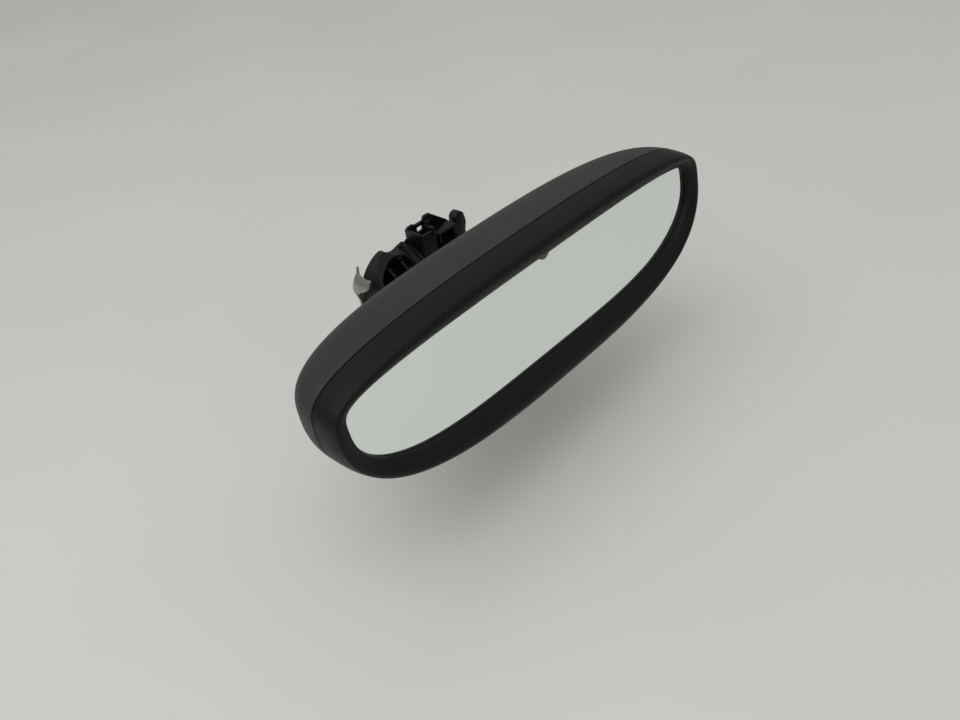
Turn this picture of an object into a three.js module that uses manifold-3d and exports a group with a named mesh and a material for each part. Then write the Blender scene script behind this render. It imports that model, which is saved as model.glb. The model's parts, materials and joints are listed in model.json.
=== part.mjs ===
// Interior rearview mirror: a dimming mirror head on a double ball-socket arm and a clip-on foot.
//
// Units are millimetres. X runs along the mirror, +Y points away from the viewer towards the
// windscreen, and +Z is up. The origin is the middle of the foot's windscreen bearing face.
// The head is drawn about its own centre line, where local y = 0 is the seam between the
// front bezel and the rear housing.

import * as THREE from 'three';
import { mergeVertices } from 'three/addons/utils/BufferGeometryUtils.js';
import Module from 'manifold-3d';

const wasm = await Module();
wasm.setup();

// ---------------------------------------------------------------- driving dimensions

const GAP = 0.3; // clearance between two pieces that nearly touch
const THIN_GAP = 0.1; // clearance between the stacked plates of the mirror cell

// An outline is a rounded shape that is flatter above its widest line than below it.
// upEnd and upEdge square off its upper half, lowEnd and lowEdge its lower half.
const SEAM = { half: 125, up: 26.85, low: 49, upEnd: 2.6, upEdge: 3.6, lowEnd: 3.1, lowEdge: 2.3 };
const RIDGE = { half: 123.5, up: 24.8, low: 46.7, upEnd: 2.86, upEdge: 3.67, lowEnd: 2.88, lowEdge: 2.29 };
const LIP = { half: 117.2, up: 15.5, low: 35.2, upEnd: 3.32, upEdge: 4.96, lowEnd: 3.84, lowEdge: 2.18 };
const OUTLINE_STEPS = 60;

const SEAM_GAP = 0.5; // dark line between bezel and housing
const SHELL_DEPTH = 42; // rear housing, from the seam to its back
const SHELL_WALL = 2.4;
const TONGUE_Y = 4; // how far the bezel's tongue reaches into the housing
const SHELL_SINK = 2.02; // the back of the housing sits this much lower than the seam
const FRONT_TILT = 0.107; // the glass leans back by this much for each millimetre of height
const RIDGE_Y = -14.7; // line where the bezel's side rolls over, at the head's widest line
const LIP_Y = -11.9; // edge of the glass opening, at the same line
const GLASS_Y = -9.1; // front of the mirror glass, at the same line

const HEAD_Y = -90; // seam plane, in front of the bearing face
const HEAD_Z = 28; // widest line of the head, above the middle of the bearing face
const ARM_Z = 4; // height of the arm's axis
const FOOT_BALL_Y = -22;
const HEAD_BALL_Y = -60;
const ARM_HOLE_RADIUS = 14.8;
const AMBIENT_HOLE_RADIUS = 4.3;

const BALL_RADIUS = 6;
const SEAT_INNER = BALL_RADIUS + GAP;
const SEAT_OUTER = 7.3;
const SOCKET_RADIUS = 7.6; // inside of the arm tube and of its two rounded ends
const ARM_RADIUS = 9.3;
const MOUTH_RADIUS = 5.5; // opening at each end of the arm
const MOUTH_REACH = 6.4; // from a ball's centre to the end face of the arm
const NECK_RADIUS = 2.2;
const NECK_ROOT = 4.4; // radius of the neck beyond the reach of the tilting arm
const NECK_CLEAR = 8.6; // from a ball's centre to where its neck may widen
const STUD_PLATE = 2.5;

const SHOE_WIDTH = 66;
const SHOE_HEIGHT = 30;
const SHOE_THICKNESS = 4;
const CARRIER_BACK = -SHOE_THICKNESS - GAP;
const CARRIER_PLATE = 3;

const SENSOR_X = 3.9;
const SENSOR_Z = 16.1;
const SENSOR_RADIUS = 4;
const SENSOR_RISE = 1.2;
const AMBIENT_X = -40;
const AMBIENT_Z = 2;

const BOARD_Y = 7; // front face of the circuit board
const BOARD_THICKNESS = 1.6;

// ---------------------------------------------------------------- materials

function surface(color, roughness, metalness) {
  return new THREE.MeshStandardMaterial({ color, roughness, metalness });
}

const GRAINED_PLASTIC = surface(0x3a3a3b, 0.62, 0);
const SMOOTH_PLASTIC = surface(0x252627, 0.5, 0);
const FOOT_PLASTIC = surface(0x1e1f21, 0.55, 0);
const MIRROR_GLASS = surface(0xc4cbc6, 0.04, 0.9);
const CLEAR_GLASS = surface(0xbfc6c2, 0.03, 0.1);
const SENSOR_GLASS = surface(0x101114, 0.08, 0);
const SEALANT = surface(0x3c3f42, 0.5, 0);
const FOAM = surface(0x2a2a2a, 0.95, 0);
const CIRCUIT_BOARD = surface(0x1f5a38, 0.45, 0);
const CHIP_RESIN = surface(0x17181a, 0.55, 0);
const CAPACITOR_CAN = surface(0xb9bcc0, 0.3, 0.9);
const SPRING_STEEL = surface(0x8f908c, 0.32, 1);
const BALL_STEEL = surface(0x9a9c9f, 0.28, 1);
const SCREW_STEEL = surface(0x55585c, 0.38, 1);
const ARM_STEEL = surface(0x26272a, 0.42, 0.3);
const SHOE_ZINC = surface(0x8c8f93, 0.45, 0.9);
const ACETAL = surface(0xd9d6cc, 0.4, 0);
const BRASS = surface(0xb08d45, 0.35, 1);

// ---------------------------------------------------------------- solids

function toSolid(geometry) {
  const bare = geometry.clone();
  bare.deleteAttribute('normal');
  bare.deleteAttribute('uv');
  const merged = mergeVertices(bare, 1e-4);
  const corners = merged.index.array;
  const kept = [];
  for (let i = 0; i < corners.length; i += 3) {
    const [a, b, c] = corners.slice(i, i + 3);
    if (a !== b && b !== c && c !== a) {
      kept.push(a, b, c);
    }
  }
  return new wasm.Manifold(new wasm.Mesh({
    numProp: 3,
    vertProperties: new Float32Array(merged.attributes.position.array),
    triVerts: new Uint32Array(kept),
  }));
}

function fromSolid(solid) {
  const mesh = solid.getMesh();
  const geometry = new THREE.BufferGeometry();
  geometry.setAttribute('position', new THREE.BufferAttribute(new Float32Array(mesh.vertProperties), 3));
  geometry.setIndex(new THREE.BufferAttribute(new Uint32Array(mesh.triVerts), 1));
  geometry.computeVertexNormals();
  return geometry;
}

// Joins the first list of geometries and cuts the second list out of them.
function build(joined, removed = []) {
  let solid = toSolid(joined[0]);
  for (const geometry of joined.slice(1)) {
    solid = solid.add(toSolid(geometry));
  }
  for (const geometry of removed) {
    solid = solid.subtract(toSolid(geometry));
  }
  return fromSolid(solid);
}

function boxBetween(x0, x1, y0, y1, z0, z1) {
  const box = new THREE.BoxGeometry(x1 - x0, y1 - y0, z1 - z0);
  return box.translate((x0 + x1) / 2, (y0 + y1) / 2, (z0 + z1) / 2);
}

// A round bar along Y, from y0 to y1.
function barAlongY(radius, y0, y1, x, z, sides = 24) {
  const bar = new THREE.CylinderGeometry(radius, radius, y1 - y0, sides);
  return bar.translate(x, (y0 + y1) / 2, z);
}

// An outline in X and Z, given as a THREE.Shape, made solid from y0 to y1.
function plateAlongY(shape, y0, y1, curveSegments = 8) {
  const plate = new THREE.ExtrudeGeometry(shape, { depth: y1 - y0, bevelEnabled: false, curveSegments });
  return plate.rotateX(Math.PI / 2).translate(0, y1, 0);
}

function roundedRectangle(width, height, radius, x = 0, z = 0) {
  const shape = new THREE.Shape();
  const a = width / 2 - radius;
  const b = height / 2 - radius;
  shape.absarc(x + a, z + b, radius, 0, Math.PI / 2);
  shape.absarc(x - a, z + b, radius, Math.PI / 2, Math.PI);
  shape.absarc(x - a, z - b, radius, Math.PI, 1.5 * Math.PI);
  shape.absarc(x + a, z - b, radius, 1.5 * Math.PI, 2 * Math.PI);
  shape.closePath();
  return shape;
}

function polygon(points) {
  const shape = new THREE.Shape();
  shape.moveTo(points[0][0], points[0][1]);
  for (const [x, z] of points.slice(1)) {
    shape.lineTo(x, z);
  }
  shape.closePath();
  return shape;
}

// Revolves a profile of [radius, along] pairs about Y. The profile starts and ends on the axis,
// or closes on itself, and is turned round if it runs the wrong way for faces that point out.
function revolve(profile, sides = 20) {
  let area = 0;
  profile.forEach(([radius, along], i) => {
    const [nextRadius, nextAlong] = profile[(i + 1) % profile.length];
    area += radius * nextAlong - nextRadius * along;
  });
  const ordered = area > 0 ? profile : [...profile].reverse();
  return new THREE.LatheGeometry(ordered.map(([radius, along]) => new THREE.Vector2(radius, along)), sides);
}

// ---------------------------------------------------------------- outlines of the head

function power(value, exponent) {
  return Math.sign(value) * Math.abs(value) ** exponent;
}

function outlinePoint(outline, turn) {
  const c = Math.cos(turn);
  const s = Math.sin(turn);
  const end = s > 0 ? outline.upEnd : outline.lowEnd;
  const edge = s > 0 ? outline.upEdge : outline.lowEdge;
  const rise = s > 0 ? outline.up : outline.low;
  return [outline.half * power(c, 2 / end), rise * power(s, 2 / edge)];
}

function grow(outline, by) {
  return { ...outline, half: outline.half + by, up: outline.up + by, low: outline.low + by };
}

function blend(a, b, share) {
  const mixed = {};
  for (const key of Object.keys(a)) {
    mixed[key] = a[key] + (b[key] - a[key]) * share;
  }
  return mixed;
}

// Turns that split the seam outline into steps of equal length.
function evenTurns(count) {
  const fine = 4000;
  const lengths = [0];
  let previous = outlinePoint(SEAM, 0);
  for (let i = 1; i <= fine; i += 1) {
    const point = outlinePoint(SEAM, (i / fine) * 2 * Math.PI);
    lengths.push(lengths[i - 1] + Math.hypot(point[0] - previous[0], point[1] - previous[1]));
    previous = point;
  }
  const turns = [];
  let at = 0;
  for (let k = 0; k < count; k += 1) {
    const target = ((k + 0.5) / count) * lengths[fine];
    while (lengths[at] < target) {
      at += 1;
    }
    turns.push((at / fine) * 2 * Math.PI);
  }
  return turns;
}

const TURNS = evenTurns(OUTLINE_STEPS);

function ring(outline, y, shiftZ = 0, scaleX = 1, scaleZ = 1) {
  return TURNS.map((turn) => {
    const [x, z] = outlinePoint(outline, turn);
    return [x * scaleX, y, z * scaleZ + shiftZ];
  });
}

// Skins a row of rings. A loop joins the last ring to the first; otherwise both ends are capped.
function skin(rings, loop = false) {
  const count = rings[0].length;
  const positions = rings.flat(2);
  const faces = [];
  const rows = loop ? rings.length : rings.length - 1;
  for (let i = 0; i < rows; i += 1) {
    const next = (i + 1) % rings.length;
    for (let j = 0; j < count; j += 1) {
      const k = (j + 1) % count;
      faces.push(i * count + j, i * count + k, next * count + k);
      faces.push(i * count + j, next * count + k, next * count + j);
    }
  }
  if (!loop) {
    for (const [row, flip] of [[0, false], [rings.length - 1, true]]) {
      const middle = positions.length / 3;
      let z = 0;
      for (const point of rings[row]) {
        z += point[2] / count;
      }
      positions.push(0, rings[row][0][1], z);
      for (let j = 0; j < count; j += 1) {
        const a = row * count + j;
        const b = row * count + ((j + 1) % count);
        faces.push(...(flip ? [middle, a, b] : [middle, b, a]));
      }
    }
  }
  const geometry = new THREE.BufferGeometry();
  geometry.setAttribute('position', new THREE.Float32BufferAttribute(positions, 3));
  geometry.setIndex(signedVolume(positions, faces) < 0 ? faces.reverse() : faces);
  geometry.computeVertexNormals();
  return geometry;
}

function signedVolume(positions, faces) {
  let volume = 0;
  const corner = (i) => new THREE.Vector3().fromArray(positions, faces[i] * 3);
  for (let i = 0; i < faces.length; i += 3) {
    volume += corner(i).dot(corner(i + 1).cross(corner(i + 2))) / 6;
  }
  return volume;
}

function slab(outline, y0, y1) {
  return skin([ring(outline, y0), ring(outline, y1)]);
}

// ---------------------------------------------------------------- head: shell and bezel

// The housing's back closes in an arch: along the mirror it stays deep almost to the ends.
const ARCH_ALONG = 2.65;
const ARCH_ACROSS = 2.41;
const ARCH_STEPS = 8;

function domeRings(inset, startY, straightY) {
  const outline = grow(SEAM, -inset);
  const depth = SHELL_DEPTH - inset;
  const rings = [ring(outline, startY), ring(outline, straightY)];
  for (let i = 1; i <= ARCH_STEPS; i += 1) {
    const share = Math.sin((i / (ARCH_STEPS + 0.35)) * (Math.PI / 2)) ** (2 / ARCH_ACROSS);
    const scaleX = (1 - share ** ARCH_ALONG) ** (1 / ARCH_ALONG);
    const scaleZ = (1 - share ** ARCH_ACROSS) ** (1 / ARCH_ACROSS);
    rings.push(ring(outline, depth * share, -SHELL_SINK * share, scaleX, scaleZ));
  }
  return rings;
}

function rearHousing() {
  const outside = skin(domeRings(0, SEAM_GAP / 2, 2));
  const inside = skin(domeRings(SHELL_WALL, -2, TONGUE_Y + GAP));
  const armHole = barAlongY(ARM_HOLE_RADIUS, 10, 60, 0, ARM_Z - HEAD_Z, 32);
  const sensorHole = barAlongY(AMBIENT_HOLE_RADIUS, 10, 60, AMBIENT_X, AMBIENT_Z, 20);
  return build([outside], [inside, armHole, sensorHole]);
}

// Leans a shape back with the glass. The lean is nothing at the head's widest line.
function leanBack(geometry) {
  const places = geometry.attributes.position;
  for (let i = 0; i < places.count; i += 1) {
    places.setY(i, places.getY(i) + FRONT_TILT * places.getZ(i));
  }
  return geometry;
}

// A ring that takes a share of the lean. Its two ends lie further back by the drop.
function leaningRing(outline, y, share, drop = 0) {
  const back = (x, z) => FRONT_TILT * share * z + drop * Math.abs(x / outline.half) ** 8;
  return ring(outline, y).map(([x, , z]) => [x, y + back(x, z), z]);
}

// The bezel's section, from the seam round the front to the lip, then back inside.
function frontBezel() {
  const side = (share, y, drop) => leaningRing(blend(SEAM, RIDGE, share), y, y / RIDGE_Y, drop);
  const face = (share, y, drop) => leaningRing(blend(RIDGE, LIP, share), y, 1, drop);
  const lipBack = grow(LIP, 3);
  const tongueInside = grow(SEAM, -4.4);
  const tongueOutside = grow(SEAM, -SHELL_WALL - 0.4);
  const seamEdge = -SEAM_GAP / 2;
  const lipInside = GLASS_Y - GAP;
  const section = [
    ring(SEAM, seamEdge),
    side(0.04, -2.5, 0),
    side(0.15, -6, 0),
    side(0.45, -10.6, 0.5),
    side(0.75, -13.1, 1),
    side(1, RIDGE_Y, 1.5),
    face(0.15, -15.8, 1.9),
    face(0.3, -16.2, 2.1),
    face(0.55, -15.5, 1.9),
    face(0.8, -13.8, 1),
    face(1, LIP_Y, 0),
    leaningRing(grow(LIP, -0.4), lipInside, 1),
    leaningRing(lipBack, lipInside, 1),
    leaningRing(lipBack, -3.2, 0.5),
    ring(tongueInside, -1.5),
    ring(tongueInside, TONGUE_Y),
    ring(tongueOutside, TONGUE_Y),
    ring(tongueOutside, seamEdge),
  ];
  const recess = lipInside - GAP - SENSOR_RISE;
  const sensorNotch = barAlongY(SENSOR_RADIUS + GAP, recess, GLASS_Y, SENSOR_X, SENSOR_Z, 28);
  return build([skin(section, true)], [leanBack(sensorNotch)]);
}

// ---------------------------------------------------------------- head: mirror cell

const CELL_OUTLINE = grow(LIP, 1.6);
const FRONT_GLASS_BACK = GLASS_Y + 1.8;
const SEAL_BACK = FRONT_GLASS_BACK + THIN_GAP + 0.4;
const REAR_GLASS_BACK = SEAL_BACK + THIN_GAP + 1.8;
const PAD_BACK = REAR_GLASS_BACK + THIN_GAP + 0.8;
const CARRIER_FRONT = PAD_BACK + THIN_GAP;
const CARRIER_REAR = CARRIER_FRONT + 1.8;

function frontGlass() {
  return leanBack(slab(CELL_OUTLINE, GLASS_Y, FRONT_GLASS_BACK));
}

function cellSeal() {
  const outer = grow(LIP, 0.6);
  const inner = grow(LIP, -1.4);
  const y0 = FRONT_GLASS_BACK + THIN_GAP;
  const section = [ring(outer, y0), ring(outer, SEAL_BACK), ring(inner, SEAL_BACK), ring(inner, y0)];
  return leanBack(skin(section, true));
}

function rearGlass() {
  return leanBack(slab(grow(LIP, 1), SEAL_BACK + THIN_GAP, REAR_GLASS_BACK));
}

// A thin strip along one long edge of the rear glass, with a tab that reaches the board.
function busClip(z) {
  const y0 = REAR_GLASS_BACK + THIN_GAP;
  const strip = boxBetween(-35, 35, y0, y0 + 0.5, z - 1.8, z + 1.8);
  const tab = boxBetween(26, 30, y0, BOARD_Y - 1, z - 0.4, z + 0.4);
  return leanBack(build([strip, tab]));
}

const UPPER_CLIP_Z = 9;
const LOWER_CLIP_Z = -29;

function glassPad() {
  const pad = slab(grow(LIP, -8.5), REAR_GLASS_BACK + THIN_GAP, PAD_BACK);
  const clipRoom = boxBetween(-37, 37, -20, 0, UPPER_CLIP_Z - 3, UPPER_CLIP_Z + 9);
  const lowerRoom = boxBetween(-37, 37, -20, 0, LOWER_CLIP_Z - 9, LOWER_CLIP_Z + 3);
  return leanBack(build([pad], [clipRoom, lowerRoom]));
}

const STUD_SCREWS = [[-16, -8], [16, -8], [-16, 8], [16, 8]];
const BOARD_SCREWS = [[-52, 0], [52, 0]];
const STUD_Z = ARM_Z - HEAD_Z;
const STUD_PLATE_Y = 2.4;

// The plate leans with the glass. Its posts stand straight and meet the stud and the board.
function glassCarrier() {
  const joined = [leanBack(slab(grow(LIP, 0.8), CARRIER_FRONT, CARRIER_REAR))];
  const removed = [];
  for (const [x, z] of STUD_SCREWS) {
    const plateY = CARRIER_REAR + FRONT_TILT * (STUD_Z + z);
    joined.push(barAlongY(3.4, plateY - 1.2, STUD_PLATE_Y - THIN_GAP, x, STUD_Z + z, 16));
    removed.push(barAlongY(1.6, plateY - 3, STUD_PLATE_Y + 1, x, STUD_Z + z, 12));
  }
  for (const [x, z] of BOARD_SCREWS) {
    joined.push(barAlongY(3, CARRIER_REAR - 1, BOARD_Y - THIN_GAP, x, z, 16));
    removed.push(barAlongY(1.3, CARRIER_FRONT - 1, BOARD_Y + 1, x, z, 12));
  }
  for (const z of [UPPER_CLIP_Z, LOWER_CLIP_Z]) {
    removed.push(boxBetween(25, 31, -20, 0, z - 1.4, z + 1.4));
  }
  removed.push(barAlongY(2.6, -20, 0, SENSOR_X, 10, 16));
  for (const x of [-80, 80]) {
    joined.push(leanBack(boxBetween(x - 1, x + 1, CARRIER_REAR - 1, 2, -26, 8)));
  }
  return build(joined, removed);
}

// ---------------------------------------------------------------- head: electronics

function circuitBoard() {
  const outline = roundedRectangle(120, 24, 3, 0, 2);
  const board = plateAlongY(outline, BOARD_Y, BOARD_Y + BOARD_THICKNESS, 4);
  const holes = BOARD_SCREWS.map(([x, z]) => barAlongY(1.7, 0, 20, x, z, 12));
  return build([board], holes);
}

// The head sits above y = 0 and the shank runs down from it.
function panScrew(shankRadius, shankLength, headRadius, headHeight) {
  const drive = headRadius * 0.42;
  const drop = headHeight * 0.5;
  return revolve([
    [0, -shankLength], [shankRadius, -shankLength], [shankRadius, 0], [headRadius, 0], [headRadius, drop],
    [headRadius * 0.8, headHeight], [drive, headHeight], [drive, drop], [0, drop],
  ], 12);
}

function chipWithLegs(width, height, thickness, legs) {
  const joined = [boxBetween(-width / 2, width / 2, 0.3, thickness, -height / 2, height / 2)];
  for (let i = 0; i < legs; i += 1) {
    const x = (i - (legs - 1) / 2) * (width / legs);
    joined.push(boxBetween(x - 0.3, x + 0.3, 0.1, 0.7, -height / 2 - 1.2, height / 2 + 1.2));
  }
  return build(joined);
}

function capacitor() {
  return revolve([[0, 0.1], [4, 0.1], [4, 1.4], [3.6, 1.8], [4, 2.2], [4, 9], [3.6, 9.4], [0, 9.4]], 18);
}

function boardConnector() {
  const block = boxBetween(-8, 8, 0.1, 9, -4, 4);
  const cavity = boxBetween(-6.8, 6.8, 2, 12, -2.8, 2.8);
  return build([block], [cavity]);
}

function sensorLens() {
  const r = SENSOR_RADIUS;
  const crown = [[0, -SENSOR_RISE], [r * 0.7, -SENSOR_RISE], [r * 0.93, -SENSOR_RISE * 0.75]];
  return leanBack(revolve([...crown, [r, -0.4], [r, 0], [0, 0]], 24));
}

// The ambient lens is the end of a light guide that reaches in to the board.
function ambientLens() {
  return revolve([[0, -29], [2.4, -29], [4, -8], [4, 0.2], [3.2, 0.9], [1.8, 1.3], [0, 1.4]], 16);
}

// ---------------------------------------------------------------- ball joints and arm

// Points on a circle about a ball's centre. Angles run from the +Y pole.
function arc(radius, fromDegrees, toDegrees, steps) {
  const points = [];
  for (let i = 0; i <= steps; i += 1) {
    const degrees = fromDegrees + ((toDegrees - fromDegrees) * i) / steps;
    const angle = THREE.MathUtils.degToRad(degrees);
    points.push([degrees === 180 ? 0 : radius * Math.sin(angle), radius * Math.cos(angle)]);
  }
  return points;
}

// A ball on a neck that widens to a round flange. The ball's centre is the local origin, and
// the neck runs towards +Y.
function ballStud(flangeStart, flangeEnd, flangeRadius) {
  const neckAngle = THREE.MathUtils.radToDeg(Math.asin(NECK_RADIUS / BALL_RADIUS));
  return revolve([
    [0, flangeEnd], [flangeRadius, flangeEnd], [flangeRadius, flangeStart + 0.4],
    [flangeRadius - 0.4, flangeStart], [NECK_ROOT, flangeStart], [NECK_ROOT, NECK_CLEAR + 4],
    [NECK_RADIUS, NECK_CLEAR], ...arc(BALL_RADIUS, neckAngle, 180, 9),
  ]);
}

function footBallStud() {
  return ballStud(-FOOT_BALL_Y - 7, -FOOT_BALL_Y + CARRIER_BACK, 7);
}

// The head's ball stands on a plate that is screwed to the glass carrier.
function headBallStud() {
  const reach = HEAD_BALL_Y - HEAD_Y - STUD_PLATE_Y;
  const ball = ballStud(reach - STUD_PLATE, reach, 8).rotateZ(Math.PI);
  const plate = plateAlongY(roundedRectangle(42, 25, 5), -reach, -reach + STUD_PLATE, 4);
  const holes = STUD_SCREWS.map(([x, z]) => barAlongY(1.7, -reach - 1, -reach + STUD_PLATE + 1, x, z, 14));
  return build([ball, plate], holes);
}

// A cup on the side of the ball that faces the arm's spring.
function ballCup() {
  return revolve([...arc(SEAT_OUTER, 180, 112, 5), ...arc(SEAT_INNER, 112, 180, 5)]);
}

// A ring between the ball and the rounded end of the arm.
function seatRing() {
  const outer = arc(SEAT_OUTER, 90, 62, 2);
  return revolve([...outer, ...arc(SEAT_INNER, 62, 90, 2), outer[0]]);
}

// The tube narrows over each ball, so that the balls can't leave it.
function armTube() {
  const half = (FOOT_BALL_Y - HEAD_BALL_Y) / 2;
  const end = half + MOUTH_REACH;
  const mouthAngle = THREE.MathUtils.radToDeg(Math.asin(MOUTH_RADIUS / SOCKET_RADIUS));
  const upperArc = arc(SOCKET_RADIUS, mouthAngle, 90, 4).map(([radius, along]) => [radius, along + half]);
  const lowerArc = upperArc.map(([radius, along]) => [radius, -along]).reverse();
  const mouth = [MOUTH_RADIUS, end];
  return revolve([
    mouth, ...upperArc, ...lowerArc, [MOUTH_RADIUS, -end], [MOUTH_RADIUS + 1.4, -end],
    [ARM_RADIUS - 0.9, 1.2 - end], [ARM_RADIUS, 3.4 - end], [ARM_RADIUS, end - 3.4],
    [ARM_RADIUS - 0.9, end - 1.2], [MOUTH_RADIUS + 1.4, end], mouth,
  ], 24);
}

function springWasher() {
  return revolve([[1.8, -0.6], [7, -0.6], [7, 0.6], [1.8, 0.6], [1.8, -0.6]]);
}

const WASHER_REACH = SEAT_OUTER + GAP + 0.9; // from a ball's centre to the middle of its washer

class Helix extends THREE.Curve {
  constructor(radius, length, turns) {
    super();
    Object.assign(this, { radius, length, turns });
  }

  getPoint(t) {
    const angle = t * this.turns * 2 * Math.PI;
    const along = (t - 0.5) * this.length;
    return new THREE.Vector3(this.radius * Math.cos(angle), along, this.radius * Math.sin(angle));
  }
}

function armSpring() {
  const wire = 0.8;
  const room = FOOT_BALL_Y - HEAD_BALL_Y - 2 * WASHER_REACH - 1.2 - 2 * (wire + GAP);
  const turns = 5;
  const shape = new THREE.Shape();
  shape.absarc(0, 0, wire, 0, 2 * Math.PI);
  return new THREE.ExtrudeGeometry(shape, {
    extrudePath: new Helix(5, room, turns),
    steps: turns * 10,
    curveSegments: 3,
    bevelEnabled: false,
  });
}

// ---------------------------------------------------------------- foot

const CARRIER_SCREWS = [[-24, -8], [24, -8]];

function mountShoe() {
  const outline = roundedRectangle(SHOE_WIDTH, SHOE_HEIGHT, 9);
  const joined = [plateAlongY(outline, -SHOE_THICKNESS, 0, 6)];
  const removed = CARRIER_SCREWS.map(([x, z]) => barAlongY(1.7, -10, -1.4, x, z, 12));
  return build(joined, removed);
}

const CARRIER_FRONT_Y = CARRIER_BACK - CARRIER_PLATE;
const ARCH_FRONT_Y = -22;
const BORE_RADIUS = 12.4; // room round the arm

// The arch, a hood that stands up on the left of the foot, open towards the mirror.
const ARCH_OUTSIDE = [
  [-36, -13], [-36.4, 2], [-35.6, 10], [-33, 17.5], [-29.5, 22], [-25, 25.6], [-20, 27.6], [-17.5, 27.4],
  [-15, 24.6], [-11.5, 23.6], [-6.5, 25], [-3.6, 25.6], [-1.6, 24], [-1.6, 14], [-1.6, -13],
];
const ARCH_INSIDE = [
  [-32.6, -17], [-32.8, 4], [-31, 12.5], [-27, 18], [-21, 21], [-13, 20.5], [-8, 17], [-6, 10], [-6, -17],
];

// The top of the hood falls away towards the mirror. This lays a shape on that slope.
function onSlope(geometry) {
  return geometry.rotateX(THREE.MathUtils.degToRad(40)).translate(0, -9.6, 27.2);
}

// Outline of the recess in the slope, as x and distance along the slope.
const RECESS = [
  [-30.5, -20], [-30.3, -13], [-26.3, -9], [-20, -5.1], [-14.5, -4.2], [-10.6, -5.2], [-9, -7.3],
  [-8.4, -13], [-8.4, -20],
];

function slopeRecess() {
  const outline = RECESS.map(([x, along]) => [x, -along]);
  return onSlope(plateAlongY(polygon(outline), -8, 3).rotateX(Math.PI / 2));
}

function mountCarrier() {
  const base = plateAlongY(roundedRectangle(72, 28, 8), CARRIER_FRONT_Y, CARRIER_BACK, 5);
  const hood = plateAlongY(polygon(ARCH_OUTSIDE), ARCH_FRONT_Y, CARRIER_FRONT_Y + 1);
  const hoodRoom = plateAlongY(polygon(ARCH_INSIDE), ARCH_FRONT_Y - 2, CARRIER_FRONT_Y - 1.4);
  const slope = onSlope(boxBetween(-50, 20, -30, 0, 0, 30));
  const shell = build([hood], [hoodRoom, slope, slopeRecess()]);
  const joined = [base, shell];
  for (const x of [-21.7, -13]) {
    joined.push(onSlope(boxBetween(x - 0.55, x + 0.55, -14, -8.2, -9, -0.8)));
    joined.push(onSlope(boxBetween(x - 0.55, x + 0.55, -9, -3.5, -9, -4.5)));
  }
  for (const x of [-7.2, -3]) {
    joined.push(onSlope(boxBetween(x - 0.6, x + 0.6, -15, 0, -3, 0.9)));
  }
  joined.push(boxBetween(-29, -27.4, -17, CARRIER_FRONT_Y + 1, -6, 12));
  joined.push(boxBetween(-20, -18.4, -17, CARRIER_FRONT_Y + 1, -6, 16));
  joined.push(boxBetween(-28, -19, -12, CARRIER_FRONT_Y + 1, 4, 5.8));
  joined.push(boxBetween(22, 23.6, -15, CARRIER_FRONT_Y + 1, -10, 4.4));
  joined.push(boxBetween(-14, 34, -11, CARRIER_FRONT_Y + 1, -13.6, -12));
  const removed = [barAlongY(BORE_RADIUS, -40, CARRIER_FRONT_Y, 0, ARM_Z, 28)];
  removed.push(barAlongY(8, -40, 10, 0, ARM_Z, 24));
  for (const [x, z] of CARRIER_SCREWS) {
    removed.push(barAlongY(1.7, -40, 10, x, z, 12));
    removed.push(barAlongY(3.6, -40, CARRIER_FRONT_Y, x, z, 14));
  }
  return build(joined, removed);
}

const HOLDER_BACK = CARRIER_FRONT_Y - GAP;
const HOLDER_WALL = 1.5;
const HOLDER_FRONT = -19;

// The holder's back wall steps up in the middle and slopes down towards the catch.
const HOLDER_BACK_WALL = [
  [-1, 15.4], [-1, 31], [0.8, 32.2], [4.4, 32.2], [5, 31.2], [11, 31.2], [12, 33.2], [16, 33.2],
  [27.4, 24], [27.4, 5], [13.4, 5], [13.4, 15.4],
];

function connectorHolder() {
  const backWall = plateAlongY(polygon(HOLDER_BACK_WALL), HOLDER_BACK - HOLDER_WALL, HOLDER_BACK);
  const floor = boxBetween(-1, 27.4, HOLDER_FRONT, HOLDER_BACK, 15.4, 17.2);
  const leftWall = boxBetween(-1, 0.6, HOLDER_FRONT, HOLDER_BACK, 15.4, 31);
  const pocketFront = boxBetween(-1, 9.6, HOLDER_FRONT, HOLDER_FRONT + HOLDER_WALL, 15.4, 29.5);
  const post = boxBetween(8, 9.6, HOLDER_FRONT, HOLDER_FRONT + 4, 15.4, 31);
  const rib = boxBetween(10.8, 12.2, HOLDER_BACK - 5, HOLDER_BACK, 15.4, 31.4);
  const rightWall = boxBetween(25.8, 27.4, HOLDER_FRONT + 3, HOLDER_BACK, 15.4, 23.6);
  const window = boxBetween(5.9, 10.1, HOLDER_BACK - 3, 0, 26.4, 29.4);
  const bore = barAlongY(BORE_RADIUS, -40, 10, 0, ARM_Z, 28);
  return build([backWall, floor, leftWall, pocketFront, post, rib, rightWall], [window, bore]);
}

const PIN_PLACES = [15.8, 17.9, 20, 22.1];
const PIN_Z = 21;

function connectorPin() {
  return boxBetween(-0.32, 0.32, -13, -9.6, -0.32, 0.32);
}

function connectorHeader() {
  const block = boxBetween(13, 25, -17.5, HOLDER_BACK - HOLDER_WALL - GAP, 17.5, 24.5);
  const socket = boxBetween(14.2, 23.8, -20, -11, 18.6, 23.4);
  const pinHoles = PIN_PLACES.map((x) => boxBetween(x - 0.65, x + 0.65, -12, -5, PIN_Z - 0.65, PIN_Z + 0.65));
  return build([block], [socket, ...pinHoles]);
}

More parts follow.
